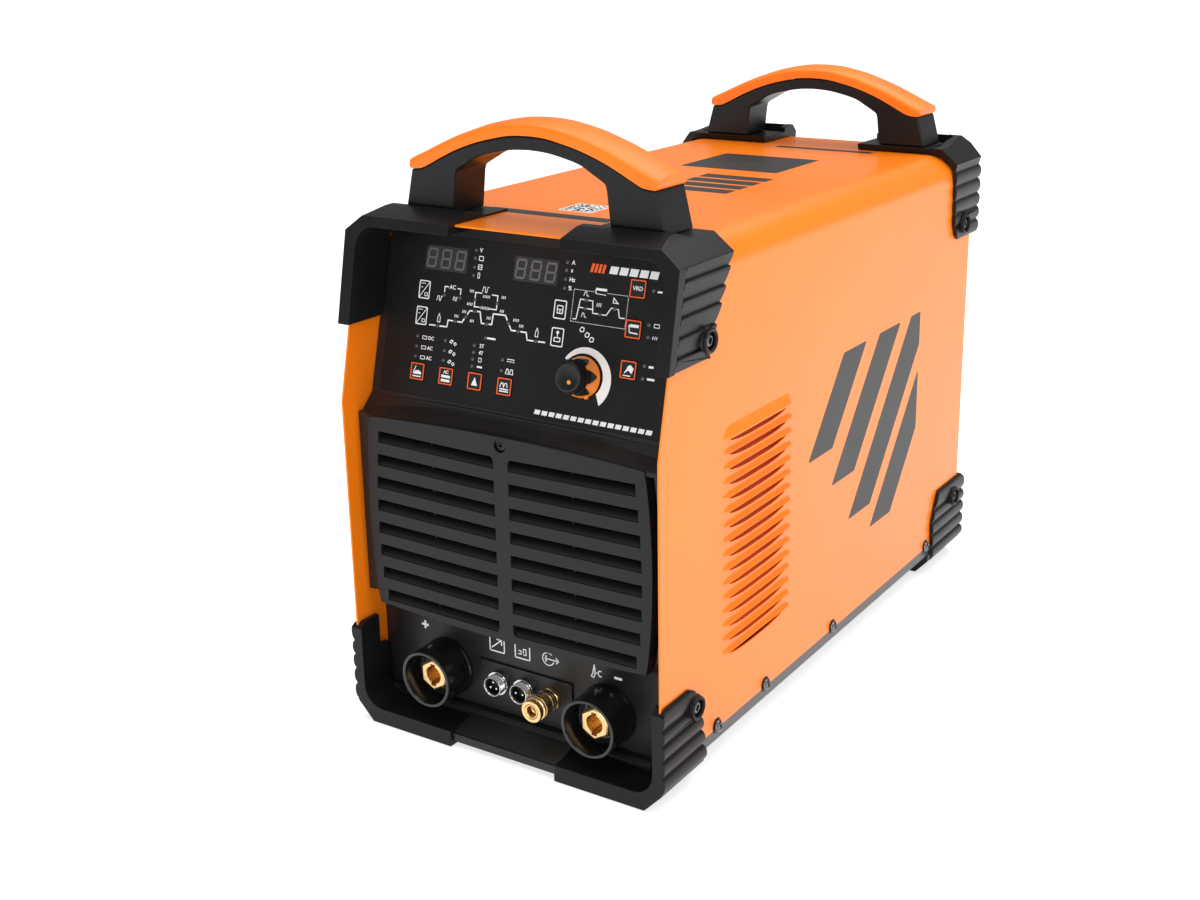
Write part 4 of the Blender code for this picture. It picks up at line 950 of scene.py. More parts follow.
# dashed frame with its small stepped curve
x0, x1, s0, s1 = 35.4, 79.6, 73.1, 95.2
n = 26
for k in range(n):
    a = x0 + (x1 - x0) * k / n
    if not 52 < a < 62:
        stroke(white, [(a, s1), (a + 0.95, s1)], 0.42)
    stroke(white, [(a, s0), (a + 0.95, s0)], 0.42)
for k in range(14):
    a = s0 + (s1 - s0) * k / 14
    stroke(white, [(x0, a), (x0, a + 0.9)], 0.42)
    stroke(white, [(x1, a), (x1, a + 0.9)], 0.42)
small = [(37.2, 75.0), (39.6, 75.0), (41.4, 89.0), (51.6, 88.8), (52.6, 80.6), (63.6, 80.4), (67.0, 85.8), (72.8, 85.4), (74.2, 80.0), (78.0, 80.0)]
small_lamps = [(46.4, 88.9), (58.6, 80.5), (70.0, 85.6), (46.0, 83.2)]
broken(white, small, small_lamps, 0.75, 1.5)
broken(white, [(40.6, 83.4), (51.8, 83.0)], small_lamps, 0.75, 1.5)
for x, s in ((45.6, 93.0), (45.4, 78.4)):
    stroke(white, [(x - 1.8, s - 1.4), (x - 0.8, s + 1.6), (x + 0.2, s + 1.2), (x + 0.9, s - 1.2), (x + 2.4, s - 1.4)], 0.5)
ring_shape(white, [(67.6, 89.2), (72.8, 89.0), (67.9, 93.4)], [(68.3, 89.7), (71.2, 89.6), (68.4, 92.0)])
for k in range(3):
    stroke(white, [(55.2 + k * 1.5, 85.4), (55.6 + k * 1.5, 88.0)], 0.55)
stroke(white, [(53.2, 97.2), (62.0, 97.2)], 1.7)
stroke(white, [(52.8, 96.9), (53.6, 93.9)], 0.7)
stroke(white, [(53.6, 94.2), (61.6, 93.8)], 0.5)
# three little shapes under the frame
for x, s in ((45.6, 68.6), (50.2, 65.4), (54.2, 62.6)):
    ring_shape(white, fillet([(x - 2.2, s - 0.4), (x - 0.6, s + 2.0), (x + 2.2, s + 1.2), (x + 1.6, s - 1.6), (x - 1.0, s - 2.0)], 0.7, 2), fillet([(x - 1.4, s - 0.3), (x - 0.4, s + 1.2), (x + 1.4, s + 0.7), (x + 1.0, s - 1.0), (x - 0.6, s - 1.3)], 0.5, 2))
# marks over the lower keys
for string, x, s in (("DC", -86.2, 45.6), ("AC", -86.2, 38.3), ("2T", -39.4, 46.0), ("4T", -39.4, 41.0), ("AC", -86.2, 31.0)):
    add_text(white, string, x, s, 3.7, bold=0.07)
for s in (45.6, 38.3, 31.0):
    box_outline(white, -89.6, s, 4.4, 2.6, 0.45, 0.2)
for k, s in enumerate((45.2, 37.9, 30.6)):
    ring_shape(white, fillet([(-66.8, s + 0.2), (-64.6, s + 2.2), (-62.6, s + 1.2), (-64.8, s - 1.0)], 0.5, 2), fillet([(-65.8, s + 0.3), (-64.6, s + 1.3), (-63.6, s + 0.8), (-64.8, s - 0.2)], 0.3, 2))
    ring_shape(white, fillet([(-63.0, s - 0.6), (-61.0, s + 0.8), (-59.6, s - 0.8), (-61.4, s - 2.4)], 0.5, 2), fillet([(-62.2, s - 0.7), (-61.0, s + 0.1), (-60.4, s - 0.8), (-61.4, s - 1.6)], 0.3, 2))
box_outline(white, -37.6, 36.0, 3.0, 3.2, 0.5, 0.8)
stroke(white, [(-39.6, 31.0), (-35.0, 31.0)], 1.3)
stroke(white, [(-33.4, 52.4), (-26.0, 52.4)], 1.3)
stroke(white, [(-14.0, 40.0), (-7.6, 40.0)], 0.55)
for k in range(3):
    stroke(white, [(-14.0 + 2.4 * k, 38.4), (-12.4 + 2.4 * k, 38.4)], 0.55)
stroke(white, [(-14.2, 29.8), (-13.4, 33.0), (-12.0, 33.0), (-11.6, 30.6), (-10.4, 30.6), (-9.8, 33.0), (-8.4, 33.0), (-7.8, 29.8)], 0.6)
stroke(white, [(-14.2, 29.6), (-7.4, 29.6)], 0.5)
# marks right of the right-hand keys
stroke(white, [(101.6, 100.6), (105.4, 100.6)], 1.3)
box_outline(white, 104.2, 78.0, 4.4, 2.8, 0.5, 0.2)
for k in range(3):
    stroke(white, [(102.0 + 1.5 * k, 68.8), (102.5 + 1.5 * k, 71.0)], 0.55)
stroke(white, [(101.8, 50.4), (105.6, 50.4)], 1.5)
stroke(white, [(101.6, 42.2), (107.4, 42.2)], 1.5)
# plain bars where the lettering would be
for k in range(5):
    w = 6.4
    a = 62.0 + k * 8.0
    panel_shape([(a, 108.6), (a + w, 108.6), (a + w + 1.0, 113.8), (a + 1.0, 113.8)], H0, H1, white)
for k in range(16):
    a = 14.0 + k * 6.1
    panel_shape([(a, 5.4), (a + 4.6, 5.4), (a + 5.4, 8.6), (a + 0.8, 8.6)], H0, H1, white)
# the scale round the knob
outer, inner = [], []
for k in range(41):
    t = k / 40
    a = math.radians(146 - 186.5 * t)
    ro = 20.9 + 1.3 * t
    ri = ro - (2.4 + 5.4 * t**0.8)
    ao = a - math.radians(9.5) * (t**6)
    outer.append((51.9 + ro * math.cos(ao), 35.7 + ro * math.sin(ao)))
    inner.append((51.9 + ri * math.cos(a), 35.7 + ri * math.sin(a)))
panel_shape(outer + inner[::-1], H0, H1, white)
piece("panel_print_white", white, WHITE, angle=60)

bm = bmesh.new()
for k in range(4):
    a = 46.6 + 3.1 * k
    panel_shape([(a, 108.2), (a + 2.1, 108.2), (a + 3.4, 114.2), (a + 1.3, 114.2)], H0, H1, bm)
piece("panel_print_orange", bm, RED_PRINT, angle=60)

bm = bmesh.new()
led_at = [(-51.8, s) for s in (113.4, 107.7, 101.4, 95.3)] + [(27.2, s) for s in (112.9, 107.4, 101.2, 95.1)]
led_at += [(-96.3, s) for s in (46.1, 38.7, 31.4)] + [(-70.4, s) for s in (46.1, 38.7, 31.6)] + [(-34.9, 52.5)] + [(-44.1, s) for s in (45.9, 41, 36, 31)]
led_at += [(-18, 39), (-18, 31.4), (98.3, 101.1), (98, 78.2), (98.3, 70), (98.3, 50.7), (98.1, 42.2), (-76.0, 78.6), (-61.4, 78.0), (-48.0, 78.0), (-28.2, 77.7)]
for x, s in led_at + lamps + small_lamps:
    add_turned(bm, [(0, 0.0), (1.25, 0.0), (1.25, 0.30), (0.95, 0.45), (0, 0.55)], on_panel(x, s), OUT, 16)
piece("panel_lamps", bm, LED, angle=60)

# displays: the three unlit digits of each, behind a slightly lighter window
bm, rim = bmesh.new(), bmesh.new()
for x0, x1 in DISPLAYS.values():
    cell = (x1 - x0) / 3
    ring_shape(rim, rect(x0 - 0.2, x1 + 0.2, DISPLAY_S[0] - 0.2, DISPLAY_S[1] + 0.2, 0.6), rect(x0 + 0.3, x1 - 0.3, DISPLAY_S[0] + 0.3, DISPLAY_S[1] - 0.3, 0.5), -0.4, 0.1)
    for k in range(3):
        cx, cs = x0 + cell * (k + 0.5), (DISPLAY_S[0] + DISPLAY_S[1]) / 2
        w, hgt, t, lean = 9.0, 14.2, 1.5, 0.08
        sk = lambda x, s: (x + (s - cs) * lean, s)
        for sy in (-1, 0, 1):
            y = cs + sy * (hgt / 2 - t / 2)
            e = t / 2
            pts = [(cx - w / 2 + e + 0.25, y - e), (cx + w / 2 - e - 0.25, y - e), (cx + w / 2 - 0.25, y), (cx + w / 2 - e - 0.25, y + e), (cx - w / 2 + e + 0.25, y + e), (cx - w / 2 + 0.25, y)]
            panel_shape([sk(*p) for p in pts], 0.0, 0.05, bm)
        for sx in (-1, 1):
            for a, b in ((cs - hgt / 2 + t / 2, cs), (cs, cs + hgt / 2 - t / 2)):
                xx = cx + sx * (w / 2 - t / 2)
                e = t / 2
                pts = [(xx - e, a + e + 0.25), (xx, a + 0.25), (xx + e, a + e + 0.25), (xx + e, b - e - 0.25), (xx, b - 0.25), (xx - e, b - e - 0.25)]
                panel_shape([sk(*p) for p in pts], 0.0, 0.05, bm)
piece("display_digits", bm, SEGMENT, angle=60)
piece("display_rims", rim, GLOSS, angle=60)

# keys
for key, (x, s) in KEYS.items():
    body = f"key_{key}"
    h = KEY / 2
    bm = panel_shape(rect(x - h, x + h, s - h, s + h, 0.8), -4.0, 0.75)
    piece(f"key_{key}_cap", bm, BAY, body=body, replaces=f"button_{key}", bevel=0.3, seg=2)
    bm = bmesh.new()
    box_outline(bm, x, s, KEY - 0.1, KEY - 0.1, 0.9, 1.0, 0.5, 1.0)
    piece(f"key_{key}_frame", bm, RED_PRINT, body=body, bevel=0.12, seg=1)
    bm = bmesh.new()
    a, b = 0.7, 0.86
    if key == "mode":
        panel_shape([(x - 3.6, s - 2.0), (x - 1.6, s + 0.4), (x + 1.0, s + 1.0), (x + 3.8, s - 0.4), (x + 3.8, s - 2.0)], a, b, bm)
        stroke(bm, [(x - 3.8, s - 1.6), (x - 1.4, s + 4.0)], 0.6, a, b)
        stroke(bm, [(x - 3.9, s - 3.6), (x + 3.8, s - 3.6)], 0.9, a, b)
    elif key == "waveform":
        add_text(bm, "AC", x, s + 2.9, 3.4, a, b, bold=0.06, centre=True)
        stroke(bm, [(x - 4.0, s - 0.2), (x + 4.0, s - 0.2)], 1.9, a, b)
        stroke(bm, [(x - 4.0, s - 3.2), (x + 4.0, s - 3.2)], 1.9, a, b)
    elif key == "trigger":
        panel_shape([(x - 2.7, s - 3.0), (x + 2.7, s - 3.0), (x, s + 3.0)], a, b, bm)
    elif key == "pulse":
        stroke(bm, [(x - 3.6, s - 0.4), (x - 2.8, s + 2.4), (x - 1.2, s + 2.4), (x - 0.4, s - 0.2), (x + 0.6, s + 2.4), (x + 2.0, s + 2.4), (x + 2.8, s - 0.4)], 0.7, a, b)
        stroke(bm, [(x - 3.9, s - 1.8), (x + 3.9, s - 1.8)], 0.9, a, b)
        stroke(bm, [(x - 3.9, s - 3.4), (x + 3.9, s - 3.4)], 0.9, a, b)
    elif key == "vrd":
        add_text(bm, "VRD", x, s + 0.1, 4.1, a, b, bold=0.05, centre=True)
    elif key == "hf":
        stroke(bm, [(x - 2.8, s + 2.2), (x + 4.2, s + 2.2)], 2.0, a, b)
        stroke(bm, [(x - 3.6, s + 2.6), (x - 2.6, s - 2.6)], 0.7, a, b)
        stroke(bm, [(x - 2.6, s - 2.4), (x + 4.0, s - 2.8)], 0.9, a, b)
    else:
        panel_shape(fillet([(x - 3.8, s - 3.6), (x + 0.2, s - 0.2), (x + 3.0, s - 2.6), (x + 4.2, s + 1.2), (x + 1.6, s + 3.6), (x - 0.6, s + 2.4), (x - 1.2, s + 0.6)], 0.5, 2), a, b, bm)
        stroke(bm, [(x - 3.8, s - 4.0), (x + 2.2, s - 4.0)], 0.7, a, b)
    piece(f"key_{key}_icon", bm, WHITE, body=body, angle=60)

# ---- knob ----------------------------------------------------------------------------------
axis_p = on_panel(KNOB_X, KNOB_S)
skirt_profile = [(3.3, 1.0), (13.9, 1.0), (14.4, 1.4), (14.4, 2.6), (13.9, 3.2), (13.5, 4.2), (13.2, 6.2), (12.9, 9.4), (12.6, 12.0), (3.3, 12.0), (3.3, 1.0)]
piece("knob_skirt_visual", turned(skirt_profile, axis_p, OUT, 64), SKIRT, body="current_knob", replaces="knob_skirt", angle=40)
cap_profile = [(3.3, 12.3), (12.0, 12.3), (11.4, 13.4), (11.0, 15.2), (10.7, 18.8), (10.35, 19.8), (9.6, 20.3), (8.9, 20.5), (8.6, 20.25), (0, 20.25), (0, 15.8), (3.3, 15.8), (3.3, 12.3)]
piece("knob_cap_visual", turned(cap_profile, axis_p, OUT, 64), CAP, body="current_knob", replaces="knob_cap", angle=40)


def skirt_r(h):
    pts = [(1.0, 14.4), (2.6, 14.4), (3.2, 13.9), (4.2, 13.5), (6.2, 13.2), (9.4, 12.9), (12.0, 12.6), (13.4, 11.8)]
    for (ha, ra), (hb, rb) in zip(pts, pts[1:]):
        if h <= hb:
            return ra + (rb - ra) * (h - ha) / (hb - ha)
    return pts[-1][1]


knob_frame = frame_of(axis_p, OUT)
bm = bmesh.new()
for k in range(6):
    mid = math.radians(8 + 60 * k)
    rows_top, rows_low = [], []
    for i in range(9):
        t = i / 8
        h = 13.2 - 9.2 * t
        half = math.radians(23.5) * (1 - t**1.3) ** 0.75 if t < 1 else 0.0
        half = max(half, math.radians(0.6))
        row_t, row_l = [], []
        for j in range(7):
            u = -1 + j / 3
            a = mid + half * u
            lift = 0.55 * (1 - abs(u) ** 3) * (1 - t**4) + 0.12
            r = skirt_r(h)
            row_t.append(knob_frame @ (Vector(((r + lift) * math.cos(a), (r + lift) * math.sin(a), h)) * MM))
            row_l.append(knob_frame @ (Vector(((r - 0.5) * math.cos(a), (r - 0.5) * math.sin(a), h)) * MM))
        rows_top.append(row_t)
        rows_low.append(row_l)
    loft([a + b[::-1] for a, b in zip(rows_top, rows_low)], bm=bm)
piece("knob_lobes", bm, CAP, body="current_knob", angle=50)
bm = turned([(0, 20.1), (1.5, 20.1), (1.5, 20.35), (1.2, 20.45), (0, 20.45)], axis_p + (UP * -3.2 + RIGHT * 1.9) * MM, OUT, 24)
piece("knob_pointer", bm, SKIRT, body="current_knob", angle=50)
turn = math.radians(-66)
tab = []
for r, w in ((13.6, -1.5), (15.6, -1.0), (15.6, 1.0), (13.6, 1.5)):
    tab.append((KNOB_X + r * math.cos(turn) - w * math.sin(turn), KNOB_S + r * math.sin(turn) + w * math.cos(turn)))
piece("knob_tab", panel_shape(tab, 1.1, 3.6), SKIRT, body="current_knob", bevel=0.35, seg=2)


# ============================================================================================
# grille
# ============================================================================================
SLOT_TOP, SLOT_PITCH, SLOT_HIGH, RISE = 203.5, 17.93, 9.0, 1.5
SLOT_OUT = (111.2, 113.0, 114.5, 115.2, 115.5, 115.0, 113.7, 110.5)
plate = prism_y(grille_outline(), GRILLE_Y, 20.7)
plate = cut(plate, prism_y(grille_outline(3.2), 13.4, 30))
slots = bmesh.new()
for i, out_x in enumerate(SLOT_OUT):
    zt = SLOT_TOP - SLOT_PITCH * i
    for side in (-1, 1):
        r_in_top = 5.0 if i == 0 else 0.8
        r_in_low = 4.0 if i == 7 else 0.8
        pts = [(6.3, zt), (out_x, zt + RISE), (out_x + 0.4, zt + RISE - SLOT_HIGH), (6.3, zt - SLOT_HIGH)]
        if i == 0:
            pts[0] = (6.3, zt - 0.2)
        pts = fillet(pts, [r_in_top, 0.9, 0.9, r_in_low], 5)
        prism_y([(side * x, z) for x, z in pts], 2, 24, slots)
plate = cut(plate, slots)
screw_hole = turned([(4.9, -4), (4.9, 4.6)], at(0, GRILLE_Y, 212.3), BACKWARD, 40)
# the brow over the grille
steps = smooth_line([(GRILLE_Y + 0.9, 217.9), (15.4, 219.6), (22.6, 222.3), (27.4, 224.4), (29.3, 226.1), (29.9, 228.6)], 4)
rows = []
for x_low, x_high, sink in ((-133.2, -133.2, 4.6), (-121.0, -119.0, 3.4), (-104.0, -97.0, 0.0), (-70.0, -70.0, 0.0), (70.0, 70.0, 0.0), (118.0, 118.0, 0.0), (133.2, 133.2, 1.6)):
    row = []
    prof = [(GRILLE_Y + 0.9, 214.4)] + steps
    for k, (y, z) in enumerate(prof):
        t = min(1.0, max(0.0, (z - 217.9) / 9.0))
        row.append(at(x_low + (x_high - x_low) * t, y + sink * (1 - t), z - 0.00035 * (x_low + (x_high - x_low) * t) ** 2 * 0.6))
    back = [(31.2, 228.4), (29.0, 224.0), (21.4, 216.9), (21.4, 214.4)]
    for y, z in back:
        t = min(1.0, max(0.0, (z - 217.9) / 9.0))
        row.append(at(x_low + (x_high - x_low) * t, y + sink * (1 - t) * 0.3, z - 0.00035 * (x_low + (x_high - x_low) * t) ** 2 * 0.6))
    rows.append(row)
piece("grille_brow", loft(rows), GRILLE, angle=28, bevel=0.5, seg=2, limit=38)
boss = turned([(0, 0.2), (6.9, 0.2), (7.1, 0.6), (7.1, 9.6), (0, 9.6)], at(0, GRILLE_Y, 211.4), BACKWARD, 40)
plate = join(plate, boss)
plate = cut(plate, screw_hole, turned([(2.2, 2), (2.2, 16)], at(0, GRILLE_Y, 212.3), BACKWARD, 20))
low_z = {(i, side): None for i in range(8) for side in (-1, 1)}


def rounded_edge(e):
    """Front rim and slot ends are rounded; the slots' long edges stay crisp."""
    mid = (e.verts[0].co + e.verts[1].co) / 2 / MM
    y = mid.y + MID_Y
    if y > 10.2 or len(e.link_faces) < 2 or e.calc_face_angle(0) < 0.5:
        return False
    d = (e.verts[0].co - e.verts[1].co) / MM
    z, x = mid.z - FOOT, abs(mid.x)
    inside = 8.0 < x < 109 and 66.0 < z < 206.0 and abs(d.x) > 20
    return not inside


weigh(plate, rounded_edge)
piece("grille_plate", plate, GRILLE, replaces="front_grille", bevel=0.45, seg=2, weight=True, angle=28)

blades = bmesh.new()
ticks = bmesh.new()
for i, out_x in enumerate(SLOT_OUT):
    zt = SLOT_TOP - SLOT_PITCH * i
    zb = zt - SLOT_HIGH
    for side in (-1, 1):
        rows = []
        for x in (5.4, 30.0, 60.0, 90.0, out_x + 1.2):
            rise = RISE * (x - 6.3) / (out_x - 6.3)
            front = smooth_line([(11.0, zb - 0.3), (11.05, zb + 0.3), (11.8, zb + 1.9), (13.6, zb + 3.6), (15.8, zb + 4.9), (17.6, zb + 5.5)], 3)
            back = [(17.8, zb + 4.4), (14.6, zb + 2.0), (13.2, zb - 0.3)]
            rows.append([at(side * x, y, z + rise) for y, z in front + back])
        loft(rows, bm=blades)
        rise = RISE * (61 - 6.3) / (out_x - 6.3)
        block(side * 61 - 0.35, side * 61 + 0.35, 10.0, 12.2, zt + rise - 1.5, zt + rise + 0.2, ticks)
# the blades take the darker copy of the grille plastic: painted shade inside the slots
piece("grille_blades", blades, SHADED_SLAT, angle=60)
# a near-black plate behind the grille openings: painted shade, keeping the view through the slots dark
shade_backing_bm = prism_y([(x * 0.95, 141 + (z - 141) * 0.93) for x, z in grille_outline(3)], 24.9, 26.2)
piece("grille_shade_backing", shade_backing_bm, DARK, bevel=0.2, seg=1)
piece("grille_mould_ticks", ticks, GRILLE, angle=30, bevel=0.12, seg=1)
ringlet = turned([(4.95, -0.05), (5.5, -0.25), (6.1, -0.05), (6.1, 0.6), (4.95, 0.6), (4.95, -0.05)], at(0, GRILLE_Y + 0.1, 212.3), BACKWARD, 40)
piece("grille_screw_rim", ringlet, GRILLE, angle=50)
screw = turned([(0, 0.9), (2.6, 0.9), (3.7, 1.35), (4.25, 2.2), (4.3, 4.2), (1.8, 4.2), (1.8, 22), (0, 22)], at(0, GRILLE_Y, 212.3), BACKWARD, 40)
cross = bmesh.new()
block(-2.3, 2.3, GRILLE_Y - 1, GRILLE_Y + 2.6, 212.3 - 0.45, 212.3 + 0.45, cross)
cross2 = block(-0.45, 0.45, GRILLE_Y - 1, GRILLE_Y + 2.6, 212.3 - 2.3, 212.3 + 2.3)
piece("grille_screw_head", cut(screw, cross, cross2), STEEL, replaces="grille_screw", bevel=0.12, seg=1, angle=35)

# ============================================================================================
# socket bay
# ============================================================================================
PLATE_FACE = BAY_Y - 1.9
bm = prism_y(fillet([(-42, -5), (42, -5), (42, 31), (-42, 31)], 1.2, 4), PLATE_FACE, PLATE_FACE + 1.6)
tools = bmesh.new()
for x in CONNECTOR_X:
    add_turned(tools, [(7.9, -4), (7.9, 6)], at(x, PLATE_FACE, AXIS_Z - 0.4), BACKWARD, 40)
add_turned(tools, [(5.6, -4), (5.6, 6)], at(COUPLING_X, PLATE_FACE, AXIS_Z - 0.4), BACKWARD, 32)
piece("connector_plate_visual", cut(bm, tools), BAY, replaces="connector_plate", bevel=0.35, seg=2, angle=30)
bm = bmesh.new()
for x, z in ((-39, 28), (39, 28), (-39, -2), (39, -2)):
    add_turned(bm, [(0, -0.7), (1.2, -0.65), (1.6, -0.2), (1.6, 0.4), (0, 0.4)], at(x, PLATE_FACE, z), BACKWARD, 20)
piece("plate_rivets", bm, BAY, angle=50)


def wall_shape(bm, pts, thick=0.13):
    prism_y(pts, BAY_Y - thick, BAY_Y + 0.2, bm)


def wall_stroke(bm, pts, width=0.8):
    left = strip(pts, width / 2)
    n = len(pts)
    other = strip([tuple(p) for p in pts], -width / 2)[n:][::-1]
    wall_shape(bm, list(left[n:][::-1]) + list(other)[::-1])


bm = bmesh.new()
arm, half = 3.3, 0.95
wall_shape(bm, [(-94.7 + dx, 45.2 + dz) for dx, dz in ((-arm, -half), (-half, -half), (-half, -arm), (half, -arm), (half, -half), (arm, -half), (arm, half), (half, half), (half, arm), (-half, arm), (-half, half), (-arm, half))])
wall_stroke(bm, [(78.0, 45.6), (84.6, 45.6)], 1.9)
for x0, x1, z0, z1 in ((-32.6, -19.4, 39.6, 52.5), (-9.3, 3.9, 39.6, 52.5)):
    for a, b in (((x0, z0), (x1, z0)), ((x0, z1), (x1, z1)), ((x0, z0), (x0, z1)), ((x1, z0), (x1, z1))):
        wall_stroke(bm, [a, b], 0.95)
wall_stroke(bm, [(-31.0, 42.0), (-22.4, 49.2)], 0.9)
wall_stroke(bm, [(-26.4, 49.7), (-21.9, 49.7), (-21.9, 45.4)], 0.9)
wall_stroke(bm, [(-6.6, 43.0), (-4.0, 43.0), (-4.0, 45.6), (-6.2, 45.6)], 0.7)
wall_stroke(bm, [(-2.2, 43.0), (0.6, 43.0), (0.6, 47.6), (-1.8, 47.6), (-1.8, 44.2)], 0.7)
n = 22
for k in range(n):
    a0, a1 = math.radians(50 + 290 * k / n), math.radians(50 + 290 * (k + 1.15) / n)
    wall_stroke(bm, [(20.6 + 5.0 * math.cos(a0), 45.4 + 5.0 * math.sin(a0)), (20.6 + 5.0 * math.cos(a1), 45.4 + 5.0 * math.sin(a1))], 0.8)
wall_stroke(bm, [(17.4, 45.4), (29.6, 45.4)], 0.8)
wall_stroke(bm, [(27.4, 47.8), (29.8, 45.4), (27.4, 43.0)], 0.8)
wall_stroke(bm, [(18.6, 42.8), (18.6, 48.0)], 1.0)
wall_stroke(bm, [(58.2, 41.6), (59.6, 44.4), (61.0, 51.0), (61.8, 44.0), (60.4, 41.2), (58.4, 41.4)], 0.9)
wall_stroke(bm, [(60.6, 44.0), (63.4, 45.6)], 0.9)
wall_stroke(bm, [(67.2, 47.4), (64.8, 47.0), (64.2, 44.8), (65.4, 43.2), (67.4, 43.2)], 0.9)
piece("bay_print", bm, WHITE, angle=60)


def wavy(angle_count, amount, which):
    return lambda a, i: amount * (0.5 + 0.5 * math.cos(angle_count * a)) if i in which else 0.0


for pole, side in (("positive", -1), ("negative", 1)):
    c = at(side * SOCKET_X, 3.0, AXIS_Z)
    body = turned(
        [
            (19.6, 0.55), (20.0, 0.12), (20.6, 0.0), (21.5, 0.05), (22.05, 0.35), (22.3, 0.9), (22.4, 2.0), (22.4, 25.8), (22.7, 26.2), (23.0, 26.6), (23.0, 28.7),
            (19.7, 28.7), (19.7, 32.3), (23.5, 32.3), (23.5, 38), (10.4, 38), (10.4, 18.1), (13.0, 17.8), (13.6, 17.5), (15.6, 17.5), (16.0, 17.1), (18.6, 17.0), (19.0, 16.2), (19.25, 2.0), (19.6, 0.55),
        ],
        c, BACKWARD, 96,
    )
    piece(f"socket_cup_{pole}", body, GLOSS, replaces=f"socket_body_{pole}", angle=32)
    contact = turned([(0, 9.3), (11.3, 9.3), (12.9, 10.4), (12.9, 17.2), (0, 17.2)], c, BACKWARD, 6, math.pi / 6)
    cone = turned([(0, 9.3), (11.0, 9.3), (13.6, 11.2), (13.6, 17.6), (0, 17.6)], c, BACKWARD, 64)
    contact = meet(contact, cone)
    contact = join(contact, turned([(0, 16), (10.1, 16), (10.1, 44), (5.0, 44), (5.0, 60), (0, 60)], c, BACKWARD, 48))
    bore = turned([(0, 6), (7.4, 6), (7.4, 9.0), (6.5, 10.1), (6.5, 27.5), (0, 27.5)], c, BACKWARD, 48)
    keys_bm = block(side * SOCKET_X - 2.2, side * SOCKET_X + 2.2, 3 + 6, 3 + 27.5, AXIS_Z + 3, AXIS_Z + 8.8)
    keys_low = block(side * SOCKET_X - 2.2, side * SOCKET_X + 2.2, 3 + 6, 3 + 27.5, AXIS_Z - 8.8, AXIS_Z - 3)
    contact = cut(contact, bore, keys_bm, keys_low)
    piece(f"socket_insert_{pole}", contact, BRASS, replaces=f"socket_contact_{pole}", bevel=0.3, seg=2, angle=32)

for hand, x, pins in (("left", CONNECTOR_X[0], 3), ("right", CONNECTOR_X[1], 2)):
    c = at(x, 20.6, AXIS_Z - 0.4)
    thread = [(6.95, 0.3), (7.15, 0.05), (7.4, 0.0), (7.7, 0.15), (7.8, 0.5)]
    for k in range(6):
        thread += [(7.45, 0.95 + 0.8 * k), (7.8, 1.35 + 0.8 * k)]
    profile = thread + [
        (7.5, 5.8), (7.5, 6.1), (9.0, 6.2), (9.3, 6.5), (9.3, 8.9), (9.05, 9.15), (7.5, 9.2), (7.5, 11.6), (9.4, 11.6), (9.4, 19.8), (0, 19.8), (0, 10.2), (6.6, 10.2), (6.6, 1.0), (6.95, 0.3),
    ]
    shell = turned(profile, c, BACKWARD, 72)
    piece(f"connector_shell_{hand}", shell, CHROME, replaces=f"remote_connector_{hand}", angle=28)
    insert = turned([(0, 6.2), (5.85, 6.2), (5.95, 1.3), (6.2, 1.0), (6.55, 1.1), (6.58, 10.1), (0, 10.1), (0, 6.2)][:-1], c, BACKWARD, 48)
    key_bm = block(x - 0.9, x + 0.9, 20.6 + 1.2, 20.6 + 7.0, AXIS_Z - 0.4 + 4.9, AXIS_Z - 0.4 + 6.2)
    piece(f"connector_insert_{hand}", join(insert, key_bm), CAP, angle=32)
    bm = bmesh.new()
    for k in range(pins):
        a = math.radians(90 + 360 / pins * k + (90 if pins == 2 else 0))
        spot = c + Vector((math.cos(a), 0, math.sin(a))) * 3.1 * MM
        add_turned(bm, [(0, 1.7), (0.7, 1.75), (1.05, 2.2), (1.05, 6.6), (0, 6.6)], spot, BACKWARD, 20)
    piece(f"connector_pins_{hand}", bm, CHROME, angle=40)

coupling = at(COUPLING_X, 4.0, AXIS_Z - 0.4)
body = turned(
    [
        (4.1, 1.2), (4.5, 0.6), (4.9, 0.4), (5.3, 0.5), (5.5, 0.9), (5.5, 12.9), (7.0, 12.9), (7.2, 13.2), (7.2, 17.6), (7.5, 17.9), (7.5, 21.9), (5.3, 21.9), (5.3, 38), (3.8, 38), (4.4, 50),
        (3.4, 50.6), (2.0, 50.6), (2.0, 24), (3.3, 23.6), (3.3, 7.0), (4.1, 6.2), (4.1, 1.2),
    ],
    coupling, BACKWARD, 64,
)
piece("coupling_core", body, BRASS, replaces="gas_coupling_body", angle=30)
hexnut = turned([(0, 21.9), (9.0, 21.9), (9.6, 22.3), (9.6, 25.8), (0, 25.8)], coupling, BACKWARD, 6, math.pi / 6)
hexnut = meet(hexnut, turned([(0, 21.8), (8.4, 21.8), (9.9, 22.8), (9.9, 25.9), (0, 25.9)], coupling, BACKWARD, 48))
hexnut = cut(hexnut, turned([(4.8, 19), (4.8, 27)], coupling, BACKWARD, 32))
piece("coupling_hex", hexnut, BRASS, bevel=0.2, seg=1, angle=30)
piece("coupling_band", turned([(7.5, 20.45), (8.4, 20.55), (8.5, 20.8), (8.5, 21.6), (8.4, 21.85), (7.5, 21.88), (7.5, 20.45)], coupling, BACKWARD, 56), GLOSS, angle=40)
prof = [(5.75, 0.9), (6.0, 0.5), (6.5, 0.3), (7.9, 0.3), (8.4, 0.6), (8.6, 1.1), (8.6, 3.7), (8.3, 4.1), (7.9, 4.3), (7.9, 4.9), (8.7, 5.2), (9.1, 5.6), (9.1, 7.0), (8.8, 7.4), (8.3, 7.6), (8.3, 8.2), (8.8, 8.5)]
knurl_from = len(prof)
prof += [(8.9, 8.8), (8.9, 14.6)]
